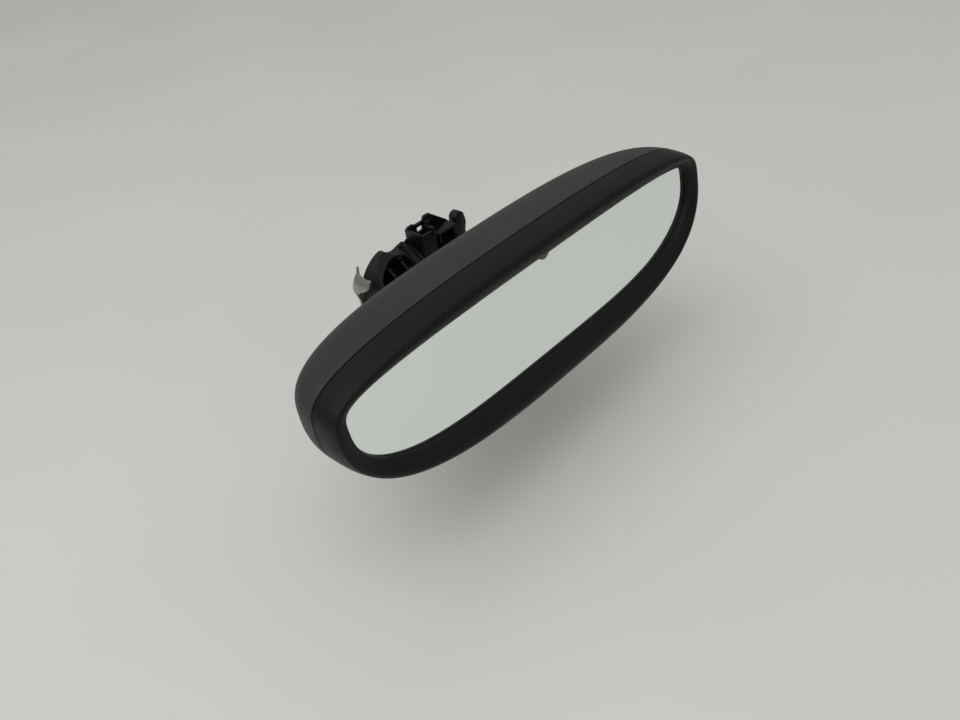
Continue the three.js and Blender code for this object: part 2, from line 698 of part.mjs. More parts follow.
function coverCatch() {
  const nose = new THREE.Shape();
  nose.moveTo(29.4, -8);
  nose.lineTo(29.6, 22.9);
  nose.absarc(33.2, 23.1, 3.6, Math.PI, 0, true);
  nose.lineTo(37.6, 19.4);
  nose.lineTo(36, 14);
  nose.lineTo(38.4, 7);
  nose.lineTo(37, -8);
  nose.closePath();
  return build([plateAlongY(nose, -13, CARRIER_FRONT_Y - GAP, 10)]);
}

// A bent leaf that hooks round the left end of the foot. LEAF_LINE is its bend as x and z.
// LEAF_SIDE is its outline from the side as y and z, with a thin prong on top and a strip to the hook.
const LEAF_THICKNESS = 0.7;
const LEAF_LINE = [
  [-37.1, -6], [-37.1, 2], [-37.2, 8], [-38.2, 12], [-39, 15], [-38.8, 18.5], [-37.6, 21.5],
  [-36, 24.3], [-35.2, 28.5],
];
const LEAF_SIDE = [
  [-6.2, -7], [-6.2, 16], [-7, 21], [-7.6, 24], [-8.2, 28], [-9.2, 28], [-9.5, 24.2], [-12, 23.4],
  [-15, 22.8], [-19, 23.4], [-19, 19.6], [-14, 16.4], [-10, 14.6], [-8.2, 13.8], [-7.8, 12], [-7.8, -7],
];

function retainingSpring() {
  const centre = new THREE.CatmullRomCurve3(LEAF_LINE.map(([x, z]) => new THREE.Vector3(x, 0, z)));
  const steps = 22;
  const half = LEAF_THICKNESS / 2;
  const left = [];
  const right = [];
  for (let i = 0; i <= steps; i += 1) {
    const point = centre.getPointAt(i / steps);
    const along = centre.getTangentAt(i / steps);
    left.push([point.x + along.z * half, point.z - along.x * half]);
    right.unshift([point.x - along.z * half, point.z + along.x * half]);
  }
  const strip = plateAlongY(polygon([...left, ...right]), -20, -6);
  const side = plateAlongY(polygon(LEAF_SIDE), 30, 45).rotateZ(Math.PI / 2);
  const leaf = fromSolid(toSolid(strip).intersect(toSolid(side)));
  const hook = boxBetween(-37.3, -36 - GAP, -7.2, -6.2, -5.5, -1);
  return build([leaf, hook]);
}

// ---------------------------------------------------------------- assembly

const mirror = new THREE.Group();
const head = new THREE.Group();
head.position.set(0, HEAD_Y, HEAD_Z);
const foot = new THREE.Group();
const arm = new THREE.Group();
arm.position.set(0, (FOOT_BALL_Y + HEAD_BALL_Y) / 2, ARM_Z);
mirror.add(head, foot, arm);

function place(parent, name, geometry, material, x = 0, y = 0, z = 0) {
  const mesh = new THREE.Mesh(geometry, material);
  mesh.name = name;
  mesh.position.set(x, y, z);
  parent.add(mesh);
  return mesh;
}

place(head, 'rear_housing', rearHousing(), GRAINED_PLASTIC);
place(head, 'front_bezel', frontBezel(), SMOOTH_PLASTIC);
place(head, 'front_glass', frontGlass(), CLEAR_GLASS);
place(head, 'cell_seal', cellSeal(), SEALANT);
place(head, 'rear_glass', rearGlass(), MIRROR_GLASS);
place(head, 'upper_bus_clip', busClip(UPPER_CLIP_Z), BRASS);
place(head, 'lower_bus_clip', busClip(LOWER_CLIP_Z), BRASS);
place(head, 'glass_pad', glassPad(), FOAM);
place(head, 'glass_carrier', glassCarrier(), FOOT_PLASTIC);
const lensY = GLASS_Y - GAP + FRONT_TILT * SENSOR_Z;
place(head, 'glare_sensor_lens', sensorLens(), SENSOR_GLASS, SENSOR_X, lensY, SENSOR_Z);

place(head, 'circuit_board', circuitBoard(), CIRCUIT_BOARD);
const boardBack = BOARD_Y + BOARD_THICKNESS;
const glareSensor = chipWithLegs(5, 4, 1.6, 2);
place(head, 'glare_sensor', glareSensor, CHIP_RESIN, SENSOR_X, BOARD_Y, 10).rotation.z = Math.PI;
place(head, 'ambient_sensor', chipWithLegs(5, 4, 1.6, 2), CHIP_RESIN, AMBIENT_X, boardBack, AMBIENT_Z);
place(head, 'ambient_sensor_lens', ambientLens(), SENSOR_GLASS, AMBIENT_X, 39.2, AMBIENT_Z);
place(head, 'control_chip', chipWithLegs(10, 7, 2, 7), CHIP_RESIN, 20, boardBack, 5);
place(head, 'capacitor', capacitor(), CAPACITOR_CAN, -22, boardBack, 5);
place(head, 'board_connector', boardConnector(), ACETAL, 38, boardBack, 3);

const studSeat = HEAD_BALL_Y - HEAD_Y;
place(head, 'head_ball_stud', headBallStud(), BALL_STEEL, 0, studSeat, STUD_Z);
STUD_SCREWS.forEach(([x, z], i) => {
  const y = STUD_PLATE_Y + STUD_PLATE + THIN_GAP;
  place(head, `stud_screw_${i + 1}`, panScrew(1.3, 7, 2.8, 2), SCREW_STEEL, x, y, STUD_Z + z);
});
BOARD_SCREWS.forEach(([x, z], i) => {
  place(head, `board_screw_${i + 1}`, panScrew(1, 7, 2.3, 1.6), SCREW_STEEL, x, boardBack + THIN_GAP, z);
});

// The arm's parts are placed from its middle. Parts for the foot's ball lie on the +Y side, and
// those for the head's ball are the same pieces turned round.
const armHalf = (FOOT_BALL_Y - HEAD_BALL_Y) / 2;
place(arm, 'arm_tube', armTube(), ARM_STEEL);
place(arm, 'arm_spring', armSpring(), SPRING_STEEL);
for (const [end, side] of [['foot', 1], ['head', -1]]) {
  const turn = side > 0 ? 0 : Math.PI;
  place(arm, `${end}_ball_cup`, ballCup(), ACETAL, 0, side * armHalf, 0).rotation.z = turn;
  place(arm, `${end}_ball_ring`, seatRing(), ACETAL, 0, side * armHalf, 0).rotation.z = turn;
  place(arm, `${end}_spring_washer`, springWasher(), BALL_STEEL, 0, side * (armHalf - WASHER_REACH), 0);
}

place(foot, 'mount_shoe', mountShoe(), SHOE_ZINC);
place(foot, 'foot_ball_stud', footBallStud(), BALL_STEEL, 0, FOOT_BALL_Y, ARM_Z);
place(foot, 'mount_carrier', mountCarrier(), FOOT_PLASTIC);
CARRIER_SCREWS.forEach(([x, z], i) => {
  const screw = panScrew(1.3, 5.4, 2.9, 2);
  const screwY = CARRIER_FRONT_Y - THIN_GAP;
  place(foot, `carrier_screw_${i + 1}`, screw, SCREW_STEEL, x, screwY, z).rotation.z = Math.PI;
});
place(foot, 'connector_holder', connectorHolder(), FOOT_PLASTIC);
place(foot, 'connector_header', connectorHeader(), CHIP_RESIN);
PIN_PLACES.forEach((x, i) => {
  place(foot, `connector_pin_${i + 1}`, connectorPin(), BRASS, x, 0, PIN_Z);
});
place(foot, 'cover_catch', coverCatch(), FOOT_PLASTIC);
place(foot, 'retaining_spring', retainingSpring(), SPRING_STEEL);

export default mirror;
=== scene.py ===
# %% [markdown]
# # Interior rearview mirror
#
# A dimming mirror head hangs on a short arm with a ball joint at each end, and the arm hangs on a foot
# that clips to the windscreen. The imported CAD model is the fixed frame. This lesson dresses it: fine
# meshes stand for the faceted solids that show, and every surface gets a material of its own.
# X runs along the mirror, +Y points to the windscreen and +Z is up.

# %% Load the frame
import json
import math

import bmesh
import bpy
from mathutils import Matrix, Vector


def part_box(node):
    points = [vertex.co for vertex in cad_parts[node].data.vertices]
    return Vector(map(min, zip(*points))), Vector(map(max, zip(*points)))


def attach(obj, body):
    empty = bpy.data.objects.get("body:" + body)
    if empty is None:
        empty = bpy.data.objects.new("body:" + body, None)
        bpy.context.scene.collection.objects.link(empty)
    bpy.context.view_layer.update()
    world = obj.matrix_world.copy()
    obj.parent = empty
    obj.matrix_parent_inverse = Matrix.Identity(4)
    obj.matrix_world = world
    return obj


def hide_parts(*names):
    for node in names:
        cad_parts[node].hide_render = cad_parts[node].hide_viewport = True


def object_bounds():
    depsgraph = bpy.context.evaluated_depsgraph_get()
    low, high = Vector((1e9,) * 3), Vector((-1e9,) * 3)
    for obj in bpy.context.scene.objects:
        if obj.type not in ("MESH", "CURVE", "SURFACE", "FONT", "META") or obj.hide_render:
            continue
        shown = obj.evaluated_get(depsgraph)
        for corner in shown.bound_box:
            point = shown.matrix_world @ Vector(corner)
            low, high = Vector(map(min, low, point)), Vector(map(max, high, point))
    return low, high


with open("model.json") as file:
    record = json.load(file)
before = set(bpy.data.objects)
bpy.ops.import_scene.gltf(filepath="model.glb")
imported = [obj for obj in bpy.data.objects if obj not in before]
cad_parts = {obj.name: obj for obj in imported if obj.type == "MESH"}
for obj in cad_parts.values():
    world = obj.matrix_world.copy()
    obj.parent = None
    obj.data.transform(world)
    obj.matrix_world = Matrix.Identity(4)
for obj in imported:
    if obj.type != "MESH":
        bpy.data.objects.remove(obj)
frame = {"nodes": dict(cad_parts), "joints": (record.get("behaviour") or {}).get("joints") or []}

cad_low, cad_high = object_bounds()
MM = 0.001
nodes = frame["nodes"]
joint_at = {joint["name"]: Vector(joint["pos_m"]) / MM for joint in frame["joints"]}
print("size in mm:", [round(side / MM, 1) for side in cad_high - cad_low])

# %% [markdown]
# ## Where things are
#
# Sizes below are in millimetres and become metres when a mesh is made. The places come from the frame:
# the housing's box gives the seam between housing and bezel, and the joints give the centres of the balls.
# The head is drawn about the seam's middle, so one helper adds the head's place to a point.

# %% Places taken from the frame
SEAM_GAP = 0.5  # dark line between bezel and housing
GAP = 0.3  # clearance between two pieces that nearly touch
housing_low, housing_high = (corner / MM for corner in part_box("rear_housing"))
shoe_low, shoe_high = (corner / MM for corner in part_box("mount_shoe"))
foot_ball = joint_at["foot_swivel"]
head_ball = joint_at["head_swivel"]
SEAM_RISE = 26.85  # from the widest line of the head to the top of the seam
HEAD = Vector((0, round(housing_low.y - SEAM_GAP / 2, 1), round(housing_high.z - SEAM_RISE, 1)))
print("seam plane at y", HEAD.y, "and widest line at z", HEAD.z)

# %% [markdown]
# ## One helper for node trees
#
# Shaders and geometry trees are both built from nodes. This helper adds any node, sets its properties and
# fills its inputs, either with a value or with a link from another node.

# %% Node helper
def node(tree, kind, inputs=(), **settings):
    made = tree.nodes.new(kind)
    for name, value in settings.items():
        setattr(made, name, value)
    for name, value in dict(inputs).items():
        source = value.outputs[0] if isinstance(value, bpy.types.Node) else value
        if isinstance(source, bpy.types.NodeSocket):
            tree.links.new(source, made.inputs[name])
        else:
            made.inputs[name].default_value = value
    return made


def linear(hex_colour):
    """An sRGB hex colour as the linear values that shaders take."""
    parts = [int(hex_colour[i:i + 2], 16) / 255 for i in (1, 3, 5)]
    curved = [c / 12.92 if c <= 0.04045 else ((c + 0.055) / 1.055) ** 2.4 for c in parts]
    return (*curved, 1)


# %% [markdown]
# ## The camera
#
# It stands in front of the mirror's left end and looks down at the glass. It is leaned over by a few
# degrees, as a hand-held camera is. Its place follows from the point that it looks at, on the glass,
# and from its heading, its dip and its distance.

# %% Camera
CAMERA_HEADING = 41.02  # degrees, from +Y towards +X
CAMERA_DIP = 37.62  # degrees below level
CAMERA_LEAN = 9.56
CAMERA_DISTANCE = 359.8
CAMERA_LENS = 31.19  # mm, on a sensor 36 mm wide

AIM = HEAD + Vector((-45.9, -10.8, -11.7))
heading, dip = math.radians(CAMERA_HEADING), math.radians(CAMERA_DIP)
sight = Vector((math.sin(heading) * math.cos(dip), math.cos(heading) * math.cos(dip), -math.sin(dip)))
camera = bpy.data.objects.new("camera", bpy.data.cameras.new("camera"))
camera.data.lens = CAMERA_LENS
camera.data.sensor_width = 36
camera.data.clip_end = 50
lean = Matrix.Rotation(-math.radians(CAMERA_LEAN), 4, "Z")
turn = sight.to_track_quat("-Z", "Y").to_matrix().to_4x4()
camera.matrix_world = Matrix.Translation((AIM - sight * CAMERA_DISTANCE) * MM) @ turn @ lean
bpy.context.scene.collection.objects.link(camera)
bpy.context.scene.camera = camera
bpy.context.scene.view_settings.view_transform = "Standard"
print("camera at", [round(value / MM, 1) for value in camera.matrix_world.translation])

# %% [markdown]
# ## Materials: moulded plastic
#
# The housing, the bezel and the foot are injection moulded. Such plastic is one even colour all through,
# and its look comes from the skin that the mould leaves: an etched grain scatters the light and hides
# the reflections. The grain is drawn as bump. A slow change of roughness stands for handling.

# %% Moulded plastic
def start_material(name, colour, roughness, metallic=0.0, ior=1.5):
    """A material with a Principled shader. Returns its tree, shader and object coordinates."""
    material = bpy.data.materials.new(name)
    material.use_nodes = True
    tree = material.node_tree
    shader = tree.nodes["Principled BSDF"]
    shader.inputs["Base Color"].default_value = linear(colour)
    shader.inputs["Roughness"].default_value = roughness
    shader.inputs["Metallic"].default_value = metallic
    shader.inputs["IOR"].default_value = ior
    place = node(tree, "ShaderNodeTexCoord").outputs["Object"]
    return material, tree, shader, place


def vary_colour(tree, shader, mask, dark, light):
    """Lets the base colour run from dark to light with a mask."""
    mix = node(tree, "ShaderNodeMix", {"Factor": mask}, data_type="RGBA")
    mix.inputs[6].default_value = linear(dark)
    mix.inputs[7].default_value = linear(light)
    tree.links.new(mix.outputs[2], shader.inputs["Base Color"])


def vary_roughness(tree, shader, mask, low, high):
    """Lets the roughness run from low to high with a mask."""
    spread = node(tree, "ShaderNodeMapRange", {"Value": mask, "From Min": 0.3, "From Max": 0.7})
    spread.inputs["To Min"].default_value = low
    spread.inputs["To Max"].default_value = high
    tree.links.new(spread.outputs["Result"], shader.inputs["Roughness"])


def moulded_plastic(name, dark, light, roughness, grain, depth, ior=1.5):
    """grain is the spacing of the etched texture and depth its height, both in mm."""
    material, tree, shader, place = start_material(name, dark, roughness, ior=ior)
    etched = node(tree, "ShaderNodeTexNoise", {"Vector": place, "Scale": 1 / (grain * MM), "Detail": 2.0})
    pebbles = node(tree, "ShaderNodeTexVoronoi", {"Vector": place, "Scale": 1 / (1.4 * grain * MM)})
    height = node(tree, "ShaderNodeMath", {0: etched, 1: pebbles}, operation="ADD")
    bump = node(tree, "ShaderNodeBump", {"Height": height, "Distance": depth * MM, "Strength": 0.8})
    tree.links.new(bump.outputs["Normal"], shader.inputs["Normal"])
    flow = node(tree, "ShaderNodeTexNoise", {"Vector": place, "Scale": 1 / (18 * MM), "Detail": 4.0})
    vary_roughness(tree, shader, flow.outputs[0], roughness - 0.05, roughness + 0.05)
    vary_colour(tree, shader, etched.outputs[0], dark, light)
    return material


# ABS with a fine etched grain. The real grain is about 0.3 mm apart, drawn coarser so that it shows.
grained_abs = moulded_plastic("grained_abs", "#1b1b1c", "#2d2d2e", 0.56, 0.6, 0.09, ior=1.54)
# ABS from a finer mould: darker and more satin. Part of its darkness is painted shade:
# the very dark colour and the low IOR stand in for the dim room that the bezel faces and reflects.
satin_abs_with_painted_shade = moulded_plastic("satin_abs_with_painted_shade", "#060607", "#0b0b0d", 0.48, 0.45, 0.016, ior=1.33)
# Glass-filled nylon: black with a dull gloss and faint flow marks where the fibres reach the skin.
filled_nylon = moulded_plastic("filled_nylon", "#060607", "#0d0e0f", 0.4, 0.7, 0.02, ior=1.38)
black_pbt = moulded_plastic("black_pbt", "#050506", "#0a0a0b", 0.42, 0.5, 0.012, ior=1.35)
carrier_abs = moulded_plastic("carrier_abs", "#1c1c1d", "#262627", 0.5, 0.8, 0.02, ior=1.54)
white_nylon = moulded_plastic("white_nylon", "#cfcbbd", "#dcd9cf", 0.45, 0.6, 0.01, ior=1.53)
# Acetal, the slippery plastic of the ball seats: milky, waxy and smooth.
acetal = moulded_plastic("acetal", "#cdc9bc", "#dad7cd", 0.34, 0.6, 0.006, ior=1.48)
foam = moulded_plastic("foam", "#1d1d1e", "#303031", 0.95, 0.5, 0.12, ior=1.4)
print("plastics:", len(bpy.data.materials))

# %% [markdown]
# ## Materials: metal
#
# Metal shows how it was worked. Rolled strip and turned balls carry fine lines along one direction, and a
# casting has a dull orange-peel skin. Stretching a noise pattern along one axis gives the lines.

# %% Worked metal
def worked_metal(name, dark, light, roughness, line, stretch, depth, metallic=1.0):
    """line is the spacing of the working marks in mm, and stretch their length along x, y and z."""
    material, tree, shader, place = start_material(name, light, roughness, metallic)
    scale = [1 / (line * MM * length) for length in stretch]
    turned = node(tree, "ShaderNodeMapping", {"Vector": place, "Scale": scale})
    lines = node(tree, "ShaderNodeTexNoise", {"Vector": turned, "Scale": 1.0, "Detail": 3.0})
    bump = node(tree, "ShaderNodeBump", {"Height": lines, "Distance": depth * MM, "Strength": 0.6})
    tree.links.new(bump.outputs["Normal"], shader.inputs["Normal"])
    vary_roughness(tree, shader, lines.outputs[0], roughness - 0.06, roughness + 0.1)
    tarnish = node(tree, "ShaderNodeTexNoise", {"Vector": place, "Scale": 1 / (6 * MM), "Detail": 5.0})
    vary_colour(tree, shader, tarnish.outputs[0], dark, light)
    return material


rolled_steel = worked_metal("rolled_spring_steel", "#8d8d87", "#b4b4ae", 0.34, 0.5, (1, 8, 1), 0.01)
turned_steel = worked_metal("turned_ball_steel", "#8f9296", "#b3b6ba", 0.22, 0.3, (6, 1, 6), 0.004)
screw_steel = worked_metal("zinc_plated_screw", "#6d7176", "#94989d", 0.34, 0.4, (1, 1, 1), 0.008)
cast_zinc = worked_metal("die_cast_zinc", "#777a7e", "#92969a", 0.46, 1.2, (1, 1, 1), 0.03)
rolled_brass = worked_metal("tin_brass", "#a3853f", "#c2a45a", 0.3, 0.4, (1, 1, 5), 0.004)
drawn_can = worked_metal("drawn_aluminium_can", "#b0b3b6", "#cdd0d3", 0.28, 0.4, (5, 1, 5), 0.004)
# The arm is steel under a baked black coat, so it shines as paint does and not as bare metal.
coated_steel = worked_metal("black_coated_steel", "#1b1c1e", "#2a2b2e", 0.36, 0.9, (1, 1, 1), 0.02, 0.0)
print("metals done, materials so far:", len(bpy.data.materials))

# %% [markdown]
# ## Materials: glass, lens, sealant and circuit board
#
# A dimming mirror is two glass plates with a gel between them and a metal coat behind. Seen from the
# front it is a mirror with a slight green cast, because the glass and the gel take a little red. It is
# made as one tinted mirror surface: real refraction would add noise and no look.

# %% Glass and the rest
mirror_coat, tree, shader, place = start_material("coated_mirror_glass", "#dfe6e0", 0.012, 1.0)
smear = node(tree, "ShaderNodeTexNoise", {"Vector": place, "Scale": 1 / (45 * MM), "Detail": 3.0})
vary_roughness(tree, shader, smear.outputs[0], 0.008, 0.03)
vary_colour(tree, shader, smear.outputs[0], "#f0faf6", "#f5fdfa")

lens_resin, tree, shader, place = start_material("smoked_polycarbonate", "#141518", 0.08, ior=1.58)
smear = node(tree, "ShaderNodeTexNoise", {"Vector": place, "Scale": 1 / (2 * MM), "Detail": 3.0})
vary_roughness(tree, shader, smear.outputs[0], 0.05, 0.14)
vary_colour(tree, shader, smear.outputs[0], "#0f1012", "#1d1e22")
shader.inputs["Coat Weight"].default_value = 0.6

sealant = moulded_plastic("grey_sealant", "#34373a", "#45494c", 0.5, 0.8, 0.02, ior=1.45)
chip_resin = moulded_plastic("chip_resin", "#151517", "#202023", 0.55, 0.25, 0.01, ior=1.55)

# Solder mask is a green lacquer. Copper tracks under it show as raised, slightly lighter lines.
solder_mask, tree, shader, place = start_material("solder_mask", "#1c5a36", 0.35, ior=1.5)
tracks = node(tree, "ShaderNodeTexBrick", {"Vector": place, "Scale": 1 / (9 * MM), "Mortar Size": 0.04})
tracks.inputs["Color1"].default_value = (0, 0, 0, 1)
tracks.inputs["Color2"].default_value = (0, 0, 0, 1)
tracks.inputs["Mortar"].default_value = (1, 1, 1, 1)
vary_colour(tree, shader, tracks.outputs["Color"], "#17502f", "#2b7a4a")
bump = node(tree, "ShaderNodeBump", {"Height": tracks.outputs["Color"], "Distance": 0.03 * MM})
tree.links.new(bump.outputs["Normal"], shader.inputs["Normal"])
print("materials:", len(bpy.data.materials))

# %% [markdown]
# ## Helpers that make meshes
#
# Most pieces here are one of three shapes: a skin over rings, a profile turned round an axis, or an
# outline with thickness. Booleans join and cut them, and a bevel gives the small radius that a mould or
# a press leaves on every edge. Those edges catch the light, so they matter more than their size.

# %% Mesh helpers
def new_object(name, points, faces):
    """A mesh object from points in mm. Doubles are merged and faces turned outwards."""
    mesh = bpy.data.meshes.new(name)
    shape = bmesh.new()
    corners = [shape.verts.new(Vector(point) * MM) for point in points]
    for face in faces:
        if len(set(face)) > 2:
            shape.faces.new([corners[i] for i in face])
    bmesh.ops.remove_doubles(shape, verts=shape.verts, dist=1e-7)
    bmesh.ops.recalc_face_normals(shape, faces=shape.faces)
    shape.to_mesh(mesh)
    shape.free()
    made = bpy.data.objects.new(name, mesh)
    bpy.context.scene.collection.objects.link(made)
    return made


def skin(name, rings, loop=False):
    """A skin over rings of points. A loop joins the last ring to the first, otherwise the ends close."""
    count = len(rings[0])
    faces = []
    for i in range(len(rings) if loop else len(rings) - 1):
        a, b = i * count, ((i + 1) % len(rings)) * count
        faces += [(a + j, a + (j + 1) % count, b + (j + 1) % count, b + j) for j in range(count)]
    if not loop:
        last = (len(rings) - 1) * count
        faces += [tuple(range(count)), tuple(last + j for j in range(count))]
    return new_object(name, [point for ring in rings for point in ring], faces)


def turned(name, profile, centre, sides=64, loop=False):
    """A profile of (radius, along) pairs turned round the Y axis through centre."""
    rings = []
    for radius, along in profile:
        steps = [math.tau * j / sides for j in range(sides)]
        rings.append([centre + Vector((radius * math.cos(a), along, radius * math.sin(a))) for a in steps])
    return skin(name, rings, loop)


def rounded(points, radius, steps=5):
    """An outline whose corners are eased by curves that start radius mm before each corner."""
    eased = []
    for i, point in enumerate(points):
        corner = Vector(point)
        arms = [Vector(points[i - 1]) - corner, Vector(points[(i + 1) % len(points)]) - corner]
        start, end = (corner + arm * min(radius / arm.length, 0.46) for arm in arms)
        for k in range(steps + 1):
            t = k / steps
            eased.append(start * (1 - t) ** 2 + corner * 2 * t * (1 - t) + end * t ** 2)
    return eased


def plate(name, outline, y0, y1):
    """An outline of (x, z) pairs made solid from y0 to y1."""
    return skin(name, [[(x, y, z) for x, z in outline] for y in (y0, y1)])


def block(name, x0, x1, y0, y1, z0, z1, radius=0.0):
    corners = [(x0, z0), (x1, z0), (x1, z1), (x0, z1)]
    return plate(name, rounded(corners, radius) if radius else corners, y0, y1)


def rod(name, radius, y0, y1, x, z, sides=64):
    return turned(name, [(radius, y0), (radius, y1)], Vector((x, 0, z)), sides)


def settle(made):
    """Applies an object's modifiers by taking the evaluated mesh."""
    evaluated = made.evaluated_get(bpy.context.evaluated_depsgraph_get())
    mesh = bpy.data.meshes.new_from_object(evaluated)
    made.modifiers.clear()
    made.data = mesh
    return made


def sculpt(base, joined=(), cut=(), kept=(), bevel=0.0, segments=2, limit=35):
    """Joins solids, cuts some away, keeps what lies inside others, then rounds the sharp edges.
    An edge is sharp if it bends by more than limit degrees."""
    for operation, others in (("UNION", joined), ("DIFFERENCE", cut), ("INTERSECT", kept)):
        for other in others:
            change = base.modifiers.new("change", "BOOLEAN")
            change.object = other
            change.operation = operation
            change.solver = "EXACT"
    if bevel:
        soften = base.modifiers.new("soften", "BEVEL")
        soften.width = bevel * MM
        soften.segments = segments
        soften.limit_method = "ANGLE"
        soften.angle_limit = math.radians(limit)
    settle(base)
    for other in (*joined, *cut, *kept):
        bpy.data.objects.remove(other)
    return base


def finish_piece(made, material, body, slot, *replaced, sharp=32):
    """Gives a piece its material and its shading, hangs it on its body and hides the CAD parts that it
    stands for.
    """
    made.data.materials.clear()
    made.data.materials.append(material)
    made.data.shade_smooth()
    made.data.set_sharp_from_angle(angle=math.radians(sharp))
    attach(made, body)
    if replaced:
        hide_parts(*replaced)
    print(made.name, len(made.data.polygons), "faces")
    return made


# %% [markdown]
# ## The outline rule
#
# Seen from the front, the head is a rounded bar, flatter above its widest line than below it. A
# superellipse draws that: its two powers say how square the ends and the long edges are. The same rule
# with other numbers gives the seam, the raised ridge of the bezel and the edge of the opening.

# %% Outlines of the head
SEAM = dict(half=125, up=SEAM_RISE, low=49, up_end=2.6, up_edge=3.6, low_end=3.1, low_edge=2.3)
RIDGE = dict(half=123.5, up=24.8, low=46.7, up_end=2.86, up_edge=3.67, low_end=2.88, low_edge=2.29)
LIP = dict(half=117.2, up=15.5, low=35.2, up_end=3.32, up_edge=4.96, low_end=3.84, low_edge=2.18)
FRONT_TILT = 0.107  # the glass leans back by this much for each millimetre of height
AROUND = 320


def on_outline(outline, angle):
    c, s = math.cos(angle), math.sin(angle)
    side = "up" if s > 0 else "low"
    x = outline["half"] * math.copysign(abs(c) ** (2 / outline[side + "_end"]), c)
    z = outline[side] * math.copysign(abs(s) ** (2 / outline[side + "_edge"]), s)
    return x, z


def even_angles(count, fine=8000):
    """Angles that split the seam into steps of equal length."""
    spots = [Vector(on_outline(SEAM, math.tau * i / fine)) for i in range(fine + 1)]
    lengths = [0.0]
    for a, b in zip(spots, spots[1:]):
        lengths.append(lengths[-1] + (b - a).length)
    angles, at = [], 0
    for k in range(count):
        while lengths[at] < k / count * lengths[-1]:
            at += 1
        angles.append(math.tau * at / fine)
    return angles


ANGLES = even_angles(AROUND)


def grow(outline, by):
    return {**outline, "half": outline["half"] + by, "up": outline["up"] + by, "low": outline["low"] + by}


def blend(a, b, share):
    """An outline between two others."""
    return {key: a[key] + (b[key] - a[key]) * share for key in a}


def ring(outline, y, lean=0.0, drop=0.0):
    """An outline as points at y. With a lean of 1 it leans back as the glass does.
    Its two ends lie drop mm further back than its middle."""
    points = []
    for x, z in (on_outline(outline, angle) for angle in ANGLES):
        back = FRONT_TILT * lean * z + drop * abs(x / outline["half"]) ** 8
        points.append(HEAD + Vector((x, y + back, z)))
    return points


def glide(rings, steps):
    """More rings on a smooth curve through the given ones."""
    smooth = []
    for i in range(len(rings) - 1):
        before, after = rings[max(i - 1, 0)], rings[min(i + 2, len(rings) - 1)]
        for k in range(steps):
            t = k / steps
            smooth.append([
                0.5 * (2 * b + (c - a) * t + (2 * a - 5 * b + 4 * c - d) * t ** 2
                       + (3 * b - a - 3 * c + d) * t ** 3)
                for a, b, c, d in zip(before, rings[i], rings[i + 1], after)
            ])
    return smooth + [rings[-1]]


print("outline points:", len(ANGLES))

# %% [markdown]
# ## Rear housing
#
# The housing is a deep shell. Its rim is the seam outline, and towards the back it closes in an arch
# that stays deep almost to the ends. Because the whole form follows one rule, a Geometry Nodes tree makes
# it: a flat grid is rolled up, one side of the grid running round the rim and the other over the arch.
# The angles are eased near the four quarter points, where the rule would spread the points too far.

# %% The start and end of a geometry tree
def start_tree(name, output, sizes, **others):
    """A tree with an input for each size, for each other kind named, and for the material."""
    tree = bpy.data.node_groups.new(name, "GeometryNodeTree")
    kinds = {**others, **dict.fromkeys(sizes, "Float"), "Material": "Material"}
    for title, kind in kinds.items():
        tree.interface.new_socket(title, in_out="INPUT", socket_type="NodeSocket" + kind)
    tree.interface.new_socket(output, in_out="OUTPUT", socket_type="NodeSocketGeometry")
    return tree, node(tree, "NodeGroupInput").outputs


def end_tree(tree, given, geometry, output):
    """Makes any copies real, because the export drops instances, and gives them the material."""
    real = node(tree, "GeometryNodeRealizeInstances", {"Geometry": geometry})
    coated = node(tree, "GeometryNodeSetMaterial", {"Geometry": real, "Material": given["Material"]})
    node(tree, "NodeGroupOutput", {output: coated})


# %% Rear housing, the tree
ARCH_SINK = 2.02  # the back of the housing sits this much lower than its rim


